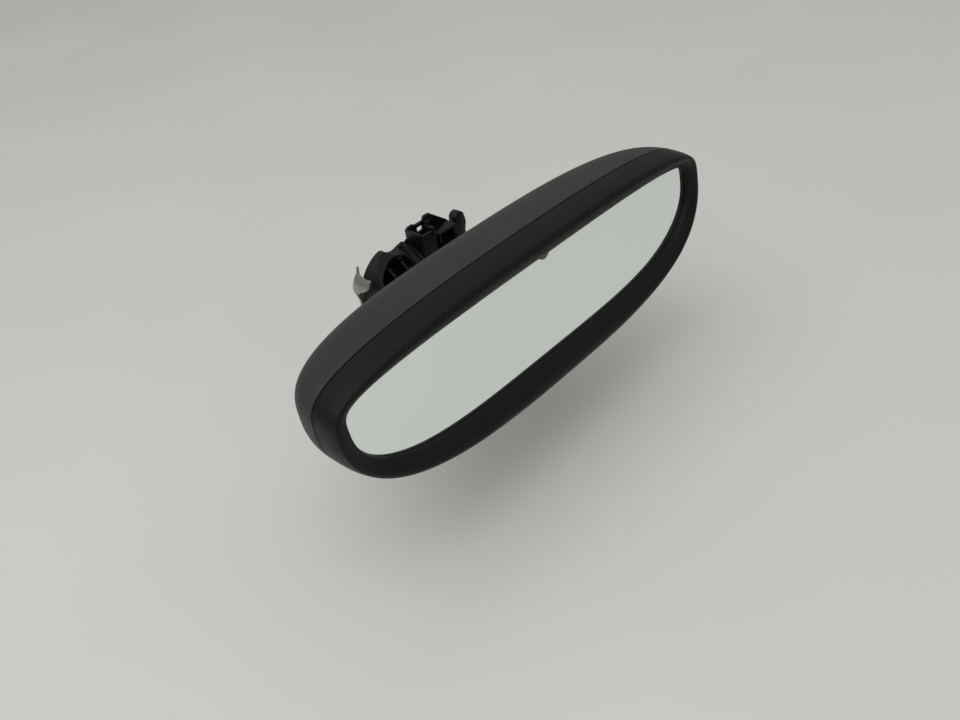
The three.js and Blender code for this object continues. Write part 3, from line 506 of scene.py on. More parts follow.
def dome_tree():
    sizes = {
        "Half Length": SEAM["half"], "Rise Above": SEAM["up"], "Rise Below": SEAM["low"],
        "Upper End": SEAM["up_end"], "Upper Edge": SEAM["up_edge"],
        "Lower End": SEAM["low_end"], "Lower Edge": SEAM["low_edge"],
        "Rim": SEAM_GAP / 2, "Depth": housing_high.y - HEAD.y, "Sink": ARCH_SINK,
        "Arch Along": 2.65, "Arch Across": 2.41,
    }
    tree, given = start_tree("arched_shell", "Shell", sizes)
    grid = node(tree, "GeometryNodeMeshGrid", {"Size X": 1.0, "Size Y": 1.0,
                                               "Vertices X": AROUND + 1, "Vertices Y": 56})
    across = node(tree, "ShaderNodeSeparateXYZ", {0: grid.outputs["UV Map"]}).outputs
    value = {**{name: given[name] for name in sizes}, "round": across["X"], "up": across["Y"]}
    formula = [
        ("quarters", "MULTIPLY", "round", 4.0),
        ("whole", "FLOOR", "quarters"),
        ("part", "FRACT", "quarters"),
        ("rest", "SUBTRACT", 1.0, "part"),
        ("rising", "POWER", "part", 1.5),
        ("falling", "POWER", "rest", 1.5),
        ("sum", "ADD", "rising", "falling"),
        ("eased", "DIVIDE", "rising", "sum"),
        ("turns", "ADD", "whole", "eased"),
        ("angle", "MULTIPLY", "turns", math.pi / 2),
        ("cosine", "COSINE", "angle"),
        ("sine", "SINE", "angle"),
        ("above", "GREATER_THAN", "sine", 0.0),
        ("below", "SUBTRACT", 1.0, "above"),
    ]
    for found, high, low in (("end", "Upper End", "Lower End"), ("edge", "Upper Edge", "Lower Edge"),
                             ("rise", "Rise Above", "Rise Below")):
        formula += [(found + " high", "MULTIPLY", high, "above"),
                    (found + " low", "MULTIPLY", low, "below"),
                    (found, "ADD", found + " high", found + " low")]
    for found, wave, power in (("wide", "cosine", "end"), ("tall", "sine", "edge")):
        formula += [(found + " power", "DIVIDE", 2.0, power), (found + " size", "ABSOLUTE", wave),
                    (found + " squared off", "POWER", found + " size", found + " power"),
                    (found + " sign", "SIGN", wave),
                    (found, "MULTIPLY", found + " squared off", found + " sign")]
    formula += [
        ("x", "MULTIPLY", "Half Length", "wide"),
        ("z", "MULTIPLY", "rise", "tall"),
        ("climb angle", "MULTIPLY", "up", math.pi / 2),
        ("climb", "SINE", "climb angle"),
        ("climb power", "DIVIDE", 2.0, "Arch Across"),
        ("climbed", "POWER", "climb", "climb power"),
        ("share", "MINIMUM", "climbed", 1.0),
    ]
    for found, side, power in (("place x", "x", "Arch Along"), ("narrow z", "z", "Arch Across")):
        formula += [(found + " raised", "POWER", "share", power),
                    (found + " rest", "SUBTRACT", 1.0, found + " raised"),
                    (found + " left", "MAXIMUM", found + " rest", 0.0),
                    (found + " root", "DIVIDE", 1.0, power),
                    (found + " factor", "POWER", found + " left", found + " root"),
                    (found, "MULTIPLY", side, found + " factor")]
    formula += [
        ("climb room", "SUBTRACT", "Depth", "Rim"),
        ("climb here", "MULTIPLY", "share", "climb room"),
        ("place y", "ADD", "Rim", "climb here"),
        ("sink here", "MULTIPLY", "Sink", "share"),
        ("place z", "SUBTRACT", "narrow z", "sink here"),
    ]
    for found, operation, *terms in formula:
        inputs = {i: value[term] if isinstance(term, str) else term for i, term in enumerate(terms)}
        value[found] = node(tree, "ShaderNodeMath", inputs, operation=operation)
    local = node(tree, "ShaderNodeCombineXYZ", {axis: value["place " + axis.lower()] for axis in "XYZ"})
    moved = node(tree, "ShaderNodeVectorMath", {0: local, 1: tuple(HEAD)}, operation="ADD")
    metres = node(tree, "ShaderNodeVectorMath", {0: moved, "Scale": MM}, operation="SCALE")
    rolled = node(tree, "GeometryNodeSetPosition", {"Geometry": grid, "Position": metres})
    closed = node(tree, "GeometryNodeMergeByDistance", {"Geometry": rolled, "Distance": 1e-6})
    end_tree(tree, given, closed, "Shell")
    return tree, sizes


def grown(name, tree, values, points=()):
    """An object made by a tree, on loose points in mm where it takes them. Each value is set on the
    modifier by its socket's identifier."""
    made = new_object(name, points, [])
    change = made.modifiers.new("tree", "NODES")
    change.node_group = tree
    for socket in tree.interface.items_tree:
        if socket.in_out == "INPUT" and socket.name in values:
            change[socket.identifier] = values[socket.name]
    return settle(made)


# %% Rear housing, the shell and its holes
SHELL_WALL = 2.4
ARM_HOLE_RADIUS = 14.8
SENSOR_HOLE_RADIUS = 4.3
shell_tree, shell_sizes = dome_tree()
housing = grown("mirror_rear_housing", shell_tree, {**shell_sizes, "Material": grained_abs})
shape = bmesh.new()
shape.from_mesh(housing.data)
bmesh.ops.recalc_face_normals(shape, faces=shape.faces)
shape.to_mesh(housing.data)
shape.free()
wall = housing.modifiers.new("wall", "SOLIDIFY")
wall.thickness = SHELL_WALL * MM
wall.offset = -1
settle(housing)
sensor_low, sensor_high = (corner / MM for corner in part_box("ambient_sensor_lens"))
sensor_at = (sensor_low + sensor_high) / 2
arm_hole = rod("arm_hole", ARM_HOLE_RADIUS, HEAD.y + 10, HEAD.y + 60, head_ball.x, head_ball.z, 96)
sensor_hole = rod("sensor_hole", SENSOR_HOLE_RADIUS, HEAD.y + 10, HEAD.y + 60, sensor_at.x, sensor_at.z, 48)
sculpt(housing, cut=[arm_hole, sensor_hole], bevel=0.35, segments=2, limit=50)
finish_piece(housing, grained_abs, "head", "grained_plastic", "rear_housing", sharp=40)

# %% [markdown]
# ## Front bezel
#
# The bezel closes the housing and holds the glass. Its side carries on the line of the housing, then
# rolls over a soft ridge and falls to the lip round the glass. The glass leans back, and the ridge and
# the lip lean with it. The bezel is skinned over rings, because each ring is the outline rule with other
# numbers. Rings close together make the small radii at the seam and the lip.

# %% Front bezel
RIDGE_Y = -14.7  # where the bezel's side rolls over, at the head's widest line
GLASS_Y = -9.1  # front of the glass, at the same line
LIP_BACK_Y = GLASS_Y - GAP


def bezel_side(share, y, drop=0.0):
    return ring(blend(SEAM, RIDGE, share), y, y / RIDGE_Y, drop)


def bezel_face(share, y, drop):
    return ring(blend(RIDGE, LIP, share), y, 1, drop)


outer_face = glide([
    ring(grow(SEAM, -1.2), -SEAM_GAP / 2),
    ring(grow(SEAM, -0.35), -0.4),
    ring(grow(SEAM, -0.06), -0.62),
    bezel_side(0.02, -1.2),
    bezel_side(0.05, -2.8),
    bezel_side(0.15, -6),
    bezel_side(0.3, -8.7, 0.2),
    bezel_side(0.48, -10.8, 0.5),
    bezel_side(0.75, -13, 1.0),
    bezel_side(1, RIDGE_Y, 1.5),
    bezel_face(0.15, -15.7, 1.9),
    bezel_face(0.3, -16.1, 2.1),
    bezel_face(0.55, -15.4, 1.9),
    bezel_face(0.8, -13.7, 1.0),
    bezel_face(0.93, -12.5, 0.3),
    bezel_face(0.985, -12.05, 0.1),
    ring(LIP, -11.75, 1),
    ring(grow(LIP, -0.12), -11.45, 1),
    ring(grow(LIP, -0.3), -10.6, 1),
    ring(grow(LIP, -0.4), LIP_BACK_Y, 1),
], 4)
inner_face = [
    ring(grow(LIP, 3), LIP_BACK_Y, 1),
    ring(grow(LIP, 3), -3.2, 0.5),
    ring(grow(SEAM, -4.4), -1.5),
    ring(grow(SEAM, -4.4), 4),
    ring(grow(SEAM, -SHELL_WALL - 0.4), 4),
    ring(grow(SEAM, -SHELL_WALL - 0.4), -SEAM_GAP / 2),
]
bezel = skin("mirror_front_bezel", outer_face + inner_face, loop=True)

# Slides each point back by the tilt for its height over the head's widest line.
LEAN_BACK = Matrix.Identity(4)
LEAN_BACK[1][2] = FRONT_TILT
LEAN_BACK[1][3] = -FRONT_TILT * HEAD.z * MM
lens_low, lens_high = (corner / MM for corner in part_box("glare_sensor_lens"))
lens_at = (lens_low + lens_high) / 2
LENS_RADIUS = 4.0
LENS_RISE = 1.2
LENS_BACK = HEAD.y + LIP_BACK_Y
notch_front = LENS_BACK - LENS_RISE - GAP
lens_notch = rod("lens_notch", LENS_RADIUS + GAP, notch_front, LENS_BACK + 0.4, lens_at.x, lens_at.z)
lens_notch.data.transform(LEAN_BACK)
sculpt(bezel, cut=[lens_notch])
# The bezel's very dark colour is partly painted shade.
finish_piece(bezel, satin_abs_with_painted_shade, "head", "bezel_plastic", "front_bezel", sharp=50)

# %% [markdown]
# ## Glass and sensor lens
#
# The front plate is a flat sheet with a ground edge. Most of its edge lies behind the lip. The glare
# sensor looks out through a small smoked lens at the top of the opening, half under the lip.

# %% Glass and sensor lens
cell = grow(LIP, 1.6)
GLASS_THICKNESS = 1.8
glass = skin("mirror_front_glass", [
    ring(grow(cell, -0.25), GLASS_Y, 1),
    ring(cell, GLASS_Y + 0.25, 1),
    ring(cell, GLASS_Y + GLASS_THICKNESS - 0.25, 1),
    ring(grow(cell, -0.25), GLASS_Y + GLASS_THICKNESS, 1),
])
finish_piece(glass, mirror_coat, "head", "mirror_glass", "front_glass", sharp=30)

lens_profile = [(0.02, -LENS_RISE)]
for step in range(1, 13):
    angle = step / 12 * math.pi / 2
    lens_profile.append((LENS_RADIUS * math.sin(angle), -0.3 - (LENS_RISE - 0.3) * math.cos(angle) ** 0.8))
lens_profile.append((LENS_RADIUS, 0))
lens = turned("glare_sensor_window", lens_profile, Vector((lens_at.x, LENS_BACK, lens_at.z)), 72)
lens.data.transform(LEAN_BACK)
finish_piece(lens, lens_resin, "head", "sensor_window", "glare_sensor_lens")

# %% [markdown]
# ## Ball studs, seats and arm
#
# Turned parts are profiles run round the arm's axis. Each ball sits between a sprung cup and a ring, and
# the tube is necked in over the ball so that it can't come out.

# %% Profiles of the joint
BALL_RADIUS = 6
SEAT_INNER, SEAT_OUTER = 6.3, 7.3
SOCKET_RADIUS = 7.6
ARM_RADIUS = 9.3
MOUTH_RADIUS = 5.5
MOUTH_REACH = 6.4
NECK_RADIUS, NECK_ROOT, NECK_CLEAR = 2.2, 4.4, 8.6


def arc(radius, start, end, steps):
    """(radius, along) pairs on a circle about a ball's centre, with angles from the +Y pole."""
    angles = [math.radians(start + (end - start) * i / steps) for i in range(steps + 1)]
    return [(max(radius * math.sin(a), 0.02), radius * math.cos(a)) for a in angles]


def stud_profile(flange_start, flange_end, flange_radius):
    neck = math.degrees(math.asin(NECK_RADIUS / BALL_RADIUS))
    return [
        (0.02, flange_end), (flange_radius - 0.3, flange_end), (flange_radius, flange_end - 0.3),
        (flange_radius, flange_start + 0.5), (flange_radius - 0.15, flange_start + 0.15),
        (flange_radius - 0.5, flange_start), (NECK_ROOT + 0.5, flange_start),
        (NECK_ROOT, flange_start - 0.4), (NECK_ROOT, NECK_CLEAR + 4), (NECK_ROOT * 0.8, NECK_CLEAR + 2.6),
        (NECK_RADIUS, NECK_CLEAR), *arc(BALL_RADIUS, neck, 180, 28),
    ]


def mirrored(profile):
    return [(radius, -along) for radius, along in profile]


# %% Arm, seats and studs
carrier_back = shoe_low.y - GAP
foot_flange = stud_profile(-foot_ball.y - 7, -foot_ball.y + carrier_back, 7)
foot_stud = turned("foot_ball_and_neck", foot_flange, foot_ball)
finish_piece(foot_stud, turned_steel, "foot", "ball_steel", "foot_ball_stud")

STUD_PLATE = 2.5
STUD_PLATE_Y = 2.4
reach = head_ball.y - HEAD.y - STUD_PLATE_Y
head_stud = turned("head_ball_and_plate", mirrored(stud_profile(reach - STUD_PLATE, reach, 8)), head_ball)
plate_corners = [(-21, -12.5), (21, -12.5), (21, 12.5), (-21, 12.5)]
stud_outline = rounded([(x, head_ball.z + z) for x, z in plate_corners], 5, 8)
stud_plate = plate("stud_plate", stud_outline, head_ball.y - reach, head_ball.y - reach + STUD_PLATE)
stud_screw_at = [(x, head_ball.z + z) for x in (-16, 16) for z in (-8, 8)]
stud_holes = [rod("hole", 1.7, HEAD.y, HEAD.y + 9, x, z, 32) for x, z in stud_screw_at]
sculpt(head_stud, [stud_plate], stud_holes, bevel=0.2)
finish_piece(head_stud, turned_steel, "head", "ball_steel", "head_ball_stud")

half = (foot_ball.y - head_ball.y) / 2
arm_middle = (foot_ball + head_ball) / 2
end = half + MOUTH_REACH
mouth = math.degrees(math.asin(MOUTH_RADIUS / SOCKET_RADIUS))
inside = [(radius, along + half) for radius, along in arc(SOCKET_RADIUS, mouth, 90, 12)]
shoulder = [
    (ARM_RADIUS, end - 3.6), (ARM_RADIUS - 0.08, end - 2.6), (ARM_RADIUS - 0.4, end - 1.7),
    (ARM_RADIUS - 1.0, end - 0.9), (ARM_RADIUS - 1.8, end - 0.3), (MOUTH_RADIUS + 1.2, end),
    (MOUTH_RADIUS + 0.3, end), (MOUTH_RADIUS, end - 0.25),
]
rolled_grooves = []
for groove in (-4.2, 4.2):  # two rolled beads grip the spring washers
    rolled_grooves += [(ARM_RADIUS, groove - 0.8), (ARM_RADIUS - 0.35, groove), (ARM_RADIUS, groove + 0.8)]
arm_profile = mirrored(shoulder[::-1]) + rolled_grooves + shoulder + inside + mirrored(inside[::-1])
arm = turned("mirror_arm", arm_profile, arm_middle, 80, loop=True)
finish_piece(arm, coated_steel, "arm", "arm_steel", "arm_tube", sharp=40)

cup_profile = [*arc(SEAT_OUTER, 180, 112, 14), *arc(SEAT_INNER, 112, 180, 14)]
seat_profile = [*arc(SEAT_OUTER, 90, 62, 6), *arc(SEAT_INNER, 62, 90, 6)]
seats = [
    ("foot_seat_cup", cup_profile, foot_ball, "foot_socket", "foot_ball_cup", False),
    ("foot_seat_ring", seat_profile, foot_ball, "foot_socket", "foot_ball_ring", True),
    ("head_seat_cup", mirrored(cup_profile), head_ball, "head_socket_cup", "head_ball_cup", False),
    ("head_seat_ring", mirrored(seat_profile), head_ball, "head_socket_ring", "head_ball_ring", True),
]
for name, profile, centre, body, replaced, loop in seats:
    seat = turned(name, profile, centre, 64, loop)
    finish_piece(seat, acetal, body, "acetal", replaced, sharp=40)

WASHER_REACH = SEAT_OUTER + 1.2
washer_profile = [
    (1.8, -0.5), (1.9, -0.6), (6.8, -0.6), (7, -0.4), (7, 0.4), (6.8, 0.6), (1.9, 0.6), (1.8, 0.5),
]
for side, ball, replaced in ((-1, foot_ball, "foot_spring_washer"), (1, head_ball, "head_spring_washer")):
    centre = ball + Vector((0, side * WASHER_REACH, 0))
    washer = turned("sprung_" + replaced, washer_profile, centre, 64, loop=True)
    finish_piece(washer, turned_steel, "arm", "ball_steel", replaced)

# %% [markdown]
# ## Arm spring
#
# The spring in the arm follows a path, a helix, so a small tree draws the helix and runs a round wire
# along it. The wire ends are closed flat, as cut wire is.

# %% Arm spring
def spring_tree():
    sizes = ("Coil Radius", "Wire Radius", "Length", "Turns")
    tree, given = start_tree("coil_spring", "Spring", sizes, Centre="Vector")
    helix = node(tree, "GeometryNodeCurveSpiral", {
        "Resolution": 36, "Rotations": given["Turns"], "Start Radius": given["Coil Radius"],
        "End Radius": given["Coil Radius"], "Height": given["Length"],
    })
    back = node(tree, "ShaderNodeMath", {0: given["Length"], 1: -0.5}, operation="MULTIPLY")
    centred = node(tree, "GeometryNodeTransform", {
        "Geometry": helix, "Translation": node(tree, "ShaderNodeCombineXYZ", {"Z": back}),
    })
    laid = node(tree, "GeometryNodeTransform", {
        "Geometry": centred, "Rotation": (math.pi / 2, 0, 0), "Translation": given["Centre"],
    })
    wire = node(tree, "GeometryNodeCurvePrimitiveCircle",
                {"Resolution": 14, "Radius": given["Wire Radius"]})
    tube = node(tree, "GeometryNodeCurveToMesh", {"Curve": laid, "Profile Curve": wire, "Fill Caps": True})
    end_tree(tree, given, tube, "Spring")
    return tree


spring_low, spring_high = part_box("arm_spring")
WIRE_RADIUS = 0.8 * MM
spring = grown("arm_coil_spring", spring_tree(), {
    "Coil Radius": 5 * MM, "Wire Radius": WIRE_RADIUS,
    "Length": spring_high.y - spring_low.y - 2.2 * WIRE_RADIUS, "Turns": 5.0,
    "Centre": (spring_low + spring_high) / 2, "Material": rolled_steel,
})
finish_piece(spring, rolled_steel, "arm", "spring_steel", "arm_spring", sharp=60)

# %% [markdown]
# ## Foot: shoe and carrier
#
# The cast shoe bears on the glass. The moulded carrier covers it and has a hood, open towards the
# mirror, with thin ribs inside. Moulded walls are thin and even, so the hood is an outline with a
# smaller outline cut out of it. A slope cuts its top down towards the mirror, and an arched recess
# opens the slope.

# %% Shoe
shoe_corners = [(-33, -15), (33, -15), (33, 15), (-33, 15)]
shoe = plate("windscreen_shoe", rounded(shoe_corners, 9, 10), shoe_low.y, shoe_high.y)
CARRIER_SCREWS = [(-24, -8), (24, -8)]
shoe_holes = [rod("hole", 1.7, -10, -1.4, x, z, 32) for x, z in CARRIER_SCREWS]
sculpt(shoe, cut=shoe_holes, bevel=0.3)
finish_piece(shoe, cast_zinc, "foot", "cast_alloy", "mount_shoe")

# %% Carrier
CARRIER_FRONT = carrier_back - 3
HOOD_FRONT = -22
BORE_RADIUS = 12.4
HOOD_OUTSIDE = [
    (-36, -13), (-36.4, 2), (-35.6, 10), (-33, 17.5), (-29.5, 22), (-25, 25.6), (-20, 27.6), (-17.5, 27.4),
    (-15, 24.6), (-11.5, 23.6), (-6.5, 25), (-3.6, 25.6), (-1.6, 24), (-1.6, 14), (-1.6, -13),
]
HOOD_INSIDE = [
    (-32.6, -17), (-32.8, 4), (-31, 12.5), (-27, 18), (-21, 21), (-13, 20.5), (-8, 17), (-6, 10), (-6, -17),
]
RECESS = [
    (-30.5, -20), (-30.3, -13), (-26.3, -9), (-20, -5.1), (-14.5, -4.2), (-10.6, -5.2), (-9, -7.3),
    (-8.4, -13), (-8.4, -20),
]
SLOPE = math.radians(40)


def on_slope(made):
    """Lays a shape on the slope of the hood's top."""
    tilt = Matrix.Translation((0, -9.6 * MM, 27.2 * MM)) @ Matrix.Rotation(SLOPE, 4, "X")
    made.data.transform(tilt)
    return made


base_corners = [(-36, -14), (36, -14), (36, 14), (-36, 14)]
carrier = plate("foot_carrier", rounded(base_corners, 8, 8), CARRIER_FRONT, carrier_back)
hood = plate("hood", rounded(HOOD_OUTSIDE, 3.2), HOOD_FRONT, CARRIER_FRONT + 1)
hood_room = plate("room", rounded(HOOD_INSIDE, 3.5), HOOD_FRONT - 2, CARRIER_FRONT - 1.4)
slope = on_slope(block("slope", -50, 20, -30, 0, 0, 30))
recess = plate("recess", rounded([(x, -along) for x, along in RECESS], 1.6), -8, 3)
recess.data.transform(Matrix.Rotation(math.pi / 2, 4, "X"))
sculpt(hood, cut=[hood_room, slope, on_slope(recess)])
ribs = [on_slope(block("rib", x - 0.6, x + 0.6, -15, 0, -3, 0.9)) for x in (-7.2, -3)]
for x in (-21.7, -13):
    ribs.append(on_slope(block("rib", x - 0.55, x + 0.55, -14, -8.2, -9, -0.8)))
    ribs.append(on_slope(block("rib", x - 0.55, x + 0.55, -9, -3.5, -9, -4.5)))
ribs.append(block("rib", -29, -27.4, -17, CARRIER_FRONT + 1, -6, 12))
ribs.append(block("rib", -20, -18.4, -17, CARRIER_FRONT + 1, -6, 16))
ribs.append(block("rib", -28, -19, -12, CARRIER_FRONT + 1, 4, 5.8))
ribs.append(block("rib", 22, 23.6, -15, CARRIER_FRONT + 1, -10, 4.4))
ribs.append(block("rib", -14, 34, -11, CARRIER_FRONT + 1, -13.6, -12))
bores = [rod("bore", BORE_RADIUS, -40, CARRIER_FRONT, 0, head_ball.z, 80),
         rod("bore", 8, -40, 10, 0, head_ball.z, 64)]
for x, z in CARRIER_SCREWS:
    bores.append(rod("bore", 1.7, -40, 10, x, z, 32))
    bores.append(rod("bore", 3.6, -40, CARRIER_FRONT, x, z, 32))
sculpt(carrier, [hood, *ribs], bores, bevel=0.3)
finish_piece(carrier, filled_nylon, "foot", "carrier_plastic", "mount_carrier", sharp=40)

# %% [markdown]
# ## Foot: connector holder, header, catch and spring clip
#
# The cable plugs in beside the hood. Its header stands in an open tray whose back wall is pierced by a
# small window. A rounded catch for the trim cover stands beside it, and a bent steel leaf hooks round
# the other end of the foot.

# %% Connector holder and header
HOLDER_BACK = CARRIER_FRONT - GAP
HOLDER_WALL = 1.5
HOLDER_FRONT = -19
HOLDER_OUTLINE = [
    (-1, 15.4), (-1, 31), (0.8, 32.2), (4.4, 32.2), (5, 31.2), (11, 31.2), (12, 33.2), (16, 33.2),
    (27.4, 24), (27.4, 5), (13.4, 5), (13.4, 15.4),
]
holder = plate("connector_tray", rounded(HOLDER_OUTLINE, 0.7, 3), HOLDER_BACK - HOLDER_WALL, HOLDER_BACK)
walls = [
    block("wall", -1, 27.4, HOLDER_FRONT, HOLDER_BACK, 15.4, 17.2),
    block("wall", -1, 0.6, HOLDER_FRONT, HOLDER_BACK, 15.4, 31),
    block("wall", -1, 9.6, HOLDER_FRONT, HOLDER_FRONT + HOLDER_WALL, 15.4, 29.5),
    block("wall", 8, 9.6, HOLDER_FRONT, HOLDER_FRONT + 4, 15.4, 31),
    block("wall", 10.8, 12.2, HOLDER_BACK - 5, HOLDER_BACK, 15.4, 31.4),
    block("wall", 25.8, 27.4, HOLDER_FRONT + 3, HOLDER_BACK, 15.4, 23.6),
]
openings = [
    block("window", 5.9, 10.1, HOLDER_BACK - 3, 0, 26.4, 29.4, 0.8),
    rod("bore", BORE_RADIUS, -40, 10, 0, head_ball.z, 80),
]
sculpt(holder, walls, openings, bevel=0.22)
finish_piece(holder, filled_nylon, "foot", "connector_plastic", "connector_holder", sharp=40)

PIN_PLACES = [15.8, 17.9, 20, 22.1]
PIN_Z = 21
header = block("connector_body", 13, 25, -17.5, HOLDER_BACK - HOLDER_WALL - 0.3, 17.5, 24.5, 0.5)
hollows = [block("socket", 14.2, 23.8, -20, -11, 18.6, 23.4, 0.4)]
hollows += [block("hole", x - 0.65, x + 0.65, -12, -5, PIN_Z - 0.65, PIN_Z + 0.65) for x in PIN_PLACES]
sculpt(header, cut=hollows, bevel=0.15)
finish_piece(header, black_pbt, "foot", "connector_plastic", "connector_header", sharp=40)

# %% Catch
NOSE_X, NOSE_Z, NOSE_RADIUS = 33.2, 23.1, 3.6
nose = [(29.4, -8), (29.6, 22.9)]
for step in range(1, 12):
    angle = math.pi * (1 - step / 12)
    nose.append((NOSE_X + NOSE_RADIUS * math.cos(angle), NOSE_Z + NOSE_RADIUS * math.sin(angle)))
nose += [(37.6, 19.4), (36, 14), (38.4, 7), (37, -8)]
catch = plate("cover_snap_catch", rounded(nose, 1.2, 3), -13, HOLDER_BACK)
sculpt(catch, bevel=0.6, segments=3)
finish_piece(catch, filled_nylon, "foot", "foot_plastic", "cover_catch", sharp=40)

# %% Spring clip
LEAF_THICKNESS = 0.7
# The bend of the leaf as (x, z) pairs, then its outline from the side as (y, z) pairs.
leaf_line = [
    (-35.2, 28.5), (-36, 24.3), (-37.6, 21.5), (-38.8, 18.5), (-39, 15), (-38.2, 12), (-37.2, 8),
    (-37.1, 2), (-37.1, -6),
]
LEAF_SIDE = [
    (-6.2, -7), (-6.2, 16), (-7, 21), (-7.6, 24), (-8.2, 28), (-9.2, 28), (-9.5, 24.2), (-12, 23.4),
    (-15, 22.8), (-19, 23.4), (-19, 19.6), (-14, 16.4), (-10, 14.6), (-8.2, 13.8), (-7.8, 12), (-7.8, -7),
]
leaf_line = [spot for (spot,) in glide([[Vector(point)] for point in leaf_line], 6)]
left_side, right_side = [], []
for i, spot in enumerate(leaf_line):
    along = (leaf_line[min(i + 1, len(leaf_line) - 1)] - leaf_line[max(i - 1, 0)]).normalized()
    across = Vector((along.y, -along.x)) * LEAF_THICKNESS / 2
    left_side.append(spot + across)
    right_side.insert(0, spot - across)
clip = plate("retaining_leaf_spring", left_side + right_side, -20, -6)
side_view = plate("side_view", rounded(LEAF_SIDE, 1.2, 4), 30, 45)
side_view.data.transform(Matrix.Rotation(math.pi / 2, 4, "Z"))
sculpt(clip, kept=[side_view])
hook = block("hook", -37.3, -36.3, -7.2, -6.2, -5.5, -1)
sculpt(clip, [hook], bevel=0.12)
finish_piece(clip, rolled_steel, "foot", "spring_steel", "retaining_spring", sharp=40)

# %% [markdown]
# ## Screws and pins
#
# The same screw is used many times, so it is made once and a tree puts a copy on each point. The points
# are a small mesh of loose vertices. Each copy is turned to face the way the screw goes in, and the
# copies become real geometry at the end because the export drops instances.

# %% Copies on points
def copies_tree(name, part):
    """Puts a copy of part on each point of the mesh, turned about Z by the angle given."""
    tree, given = start_tree(name, "Copies", ("Size", "Turn"), Points="Geometry")
    source = node(tree, "GeometryNodeObjectInfo", {"Object": part})
    facing = node(tree, "ShaderNodeCombineXYZ", {"Z": given["Turn"]})
    placed = node(tree, "GeometryNodeInstanceOnPoints", {
        "Points": given["Points"], "Instance": source.outputs["Geometry"],
        "Rotation": facing, "Scale": given["Size"],
    })
    end_tree(tree, given, placed, "Copies")
    return tree


def screw_part(name, shank_radius, shank_length, head_radius, head_height):
    """A pan head with a six-sided drive, above y = 0, on a threaded shank below it."""
    profile = [(0.02, -shank_length), (shank_radius * 0.6, -shank_length)]
    turns = int(shank_length / 0.9)
    for i in range(turns, 0, -1):
        top = -0.9 * i + 0.45
        profile += [(shank_radius * 0.82, top - 0.4), (shank_radius, top - 0.1), (shank_radius, top)]
    profile += [
        (shank_radius, 0), (head_radius - 0.15, 0), (head_radius, 0.15), (head_radius, head_height * 0.45),
        (head_radius * 0.93, head_height * 0.75), (head_radius * 0.74, head_height * 0.97),
        (head_radius * 0.5, head_height), (0.02, head_height),
    ]
    made = turned(name, profile, Vector((0, 0, 0)), 28)
    drive_radius = head_radius * 0.42
    drive_sides = [(drive_radius, head_height * 0.5), (drive_radius, head_height + 1)]
    drive = turned("drive", drive_sides, Vector((0, 0, 0)), 6)
    sculpt(made, cut=[drive])
    made.data.shade_smooth()
    made.data.set_sharp_from_angle(angle=math.radians(35))
    made.hide_render = True
    return made


def node_middle(name):
    low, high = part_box(name)
    return (low + high) / 2 / MM


screw_sets = [
    ("stud_screws", (1.3, 7, 2.8, 2), ["stud_screw_1", "stud_screw_2", "stud_screw_3", "stud_screw_4"],
     "head", 0.0),
    ("board_screws", (1, 7, 2.3, 1.6), ["board_screw_1", "board_screw_2"], "head", 0.0),
    ("carrier_screws", (1.3, 5.4, 2.9, 2), ["carrier_screw_1", "carrier_screw_2"], "foot", math.pi),
]
for name, (shank_radius, shank_length, head_radius, head_height), replaced, body, facing in screw_sets:
    part = screw_part("part_of_" + name, shank_radius, shank_length, head_radius, head_height)
    seat_shift = (shank_length - head_height) / 2 * (1 if facing == 0 else -1)
    points = [node_middle(each) + Vector((0, seat_shift, 0)) for each in replaced]
    values = {"Size": 1.0, "Turn": facing, "Material": screw_steel}
    screws = grown(name, copies_tree(name, part), values, points)
    bpy.data.objects.remove(part)
    finish_piece(screws, screw_steel, body, "screw_steel", *replaced)

pin_low, pin_high = (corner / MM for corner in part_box("connector_pin_1"))
pin_size = pin_high - pin_low
pin = block("pin", -pin_size.x / 2, pin_size.x / 2, -pin_size.y / 2, pin_size.y / 2,
            -pin_size.z / 2, pin_size.z / 2)
sculpt(pin, bevel=0.12, segments=2)
pin_nodes = ["connector_pin_1", "connector_pin_2", "connector_pin_3", "connector_pin_4"]
values = {"Size": 1.0, "Turn": 0.0, "Material": rolled_brass}
pin_middles = [node_middle(each) for each in pin_nodes]
pins = grown("connector_pins", copies_tree("pin_row", pin), values, pin_middles)
bpy.data.objects.remove(pin)
finish_piece(pins, rolled_brass, "foot", "brass", *pin_nodes)

# %% [markdown]
# ## Parts inside the head
#
# The plates of the cell, the board and its chips are sealed in, and their CAD shapes are right as they
# are. They stay, and each gets the material of the real part.

# %% Materials for the parts that stay
inner_finishes = {
    "cell_seal": sealant, "rear_glass": mirror_coat, "upper_bus_clip": rolled_brass,
    "lower_bus_clip": rolled_brass, "glass_pad": foam, "glass_carrier": carrier_abs,
    "circuit_board": solder_mask, "glare_sensor": chip_resin, "ambient_sensor": chip_resin,
    "ambient_sensor_lens": lens_resin, "control_chip": chip_resin, "capacitor": drawn_can,
    "board_connector": white_nylon,
}
for name, material in inner_finishes.items():
    nodes[name].data.materials.clear()
    nodes[name].data.materials.append(material)
print("kept CAD parts:", len(inner_finishes))
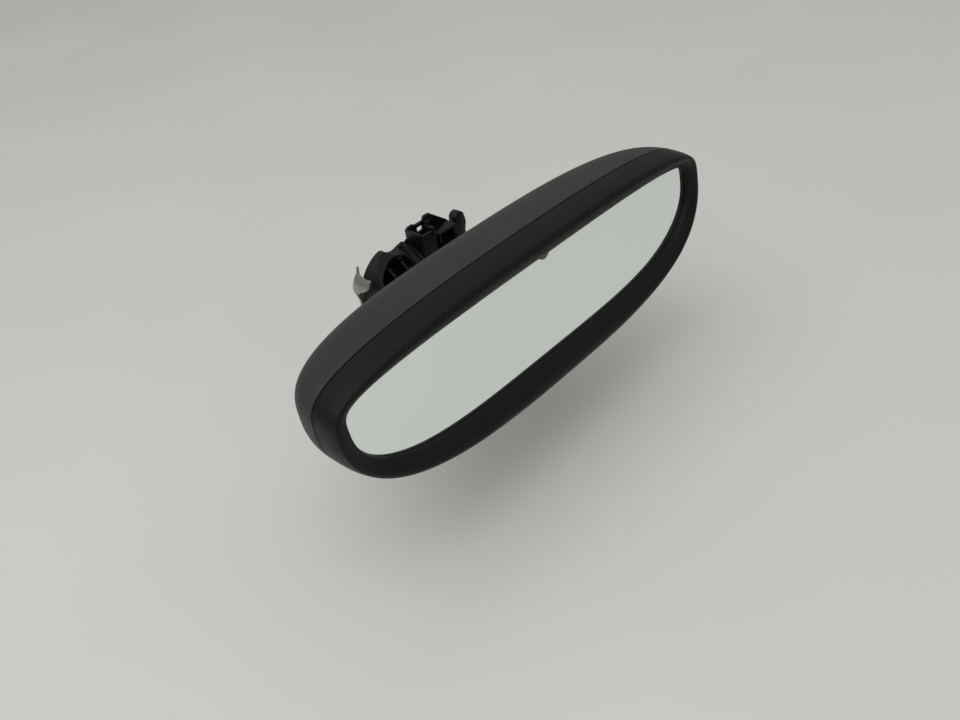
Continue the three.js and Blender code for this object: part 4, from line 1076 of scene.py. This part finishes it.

# %% [markdown]
# ## Floor and light
#
# The mirror lies over a plain pale table in soft daylight. The floor is lower than the head at any
# joint limit. One wide soft light from above and a pale sky around it give soft shadows.

# %% Floor
FLOOR_DROP = 50  # below the lowest point of the part at rest
FLOOR_REACH = 3000
floor_corners = [(x * FLOOR_REACH, y * FLOOR_REACH, 0) for x, y in ((-1, -1), (1, -1), (1, 1), (-1, 1))]
floor = new_object("floor", floor_corners, [(0, 1, 2, 3)])
floor.data.transform(Matrix.Translation((0, 0, cad_low.z - FLOOR_DROP * MM)))
table_coat, tree, shader, place = start_material("white_table_lacquer", "#e6e4e0", 0.5)
cloud = node(tree, "ShaderNodeTexNoise", {"Vector": place, "Scale": 5.0, "Detail": 3.0})
vary_colour(tree, shader, cloud.outputs[0], "#e2e0dc", "#e9e8e5")
vary_roughness(tree, shader, cloud.outputs[0], 0.42, 0.55)
floor.data.materials.append(table_coat)
if floor.data.polygons[0].normal.z < 0:
    floor.data.flip_normals()

# %% Light
world = bpy.data.worlds.new("pale_room")
world.use_nodes = True
bpy.context.scene.world = world
sky = world.node_tree.nodes["Background"]
toward = node(world.node_tree, "ShaderNodeTexCoord").outputs["Generated"]
height = node(world.node_tree, "ShaderNodeSeparateXYZ", {0: toward}).outputs["Z"]
raised = node(world.node_tree, "ShaderNodeMapRange", {"Value": height, "From Min": -0.1, "From Max": 0.8})
room = node(world.node_tree, "ShaderNodeMix", {"Factor": raised}, data_type="RGBA")
room.inputs[6].default_value = linear("#8d8b88")
room.inputs[7].default_value = linear("#f6f5f3")
world.node_tree.links.new(room.outputs[2], sky.inputs["Color"])
sky.inputs["Strength"].default_value = 0.62


def soft_light(name, width, height, place_mm, target_mm, watts, colour):
    lamp = bpy.data.lights.new(name, "AREA")
    lamp.shape = "RECTANGLE"
    lamp.size, lamp.size_y = width * MM, height * MM
    lamp.energy = watts
    lamp.color = linear(colour)[:3]
    made = bpy.data.objects.new(name, lamp)
    made.location = Vector(place_mm) * MM
    made.rotation_euler = (Vector(target_mm) - Vector(place_mm)).to_track_quat("-Z", "Y").to_euler()
    bpy.context.scene.collection.objects.link(made)
    return made


soft_light("ceiling_light", 1600, 1600, (-700, -250, 1150), (0, -60, 0), 8, "#ffffff")
print("lights:", len(bpy.data.lights))
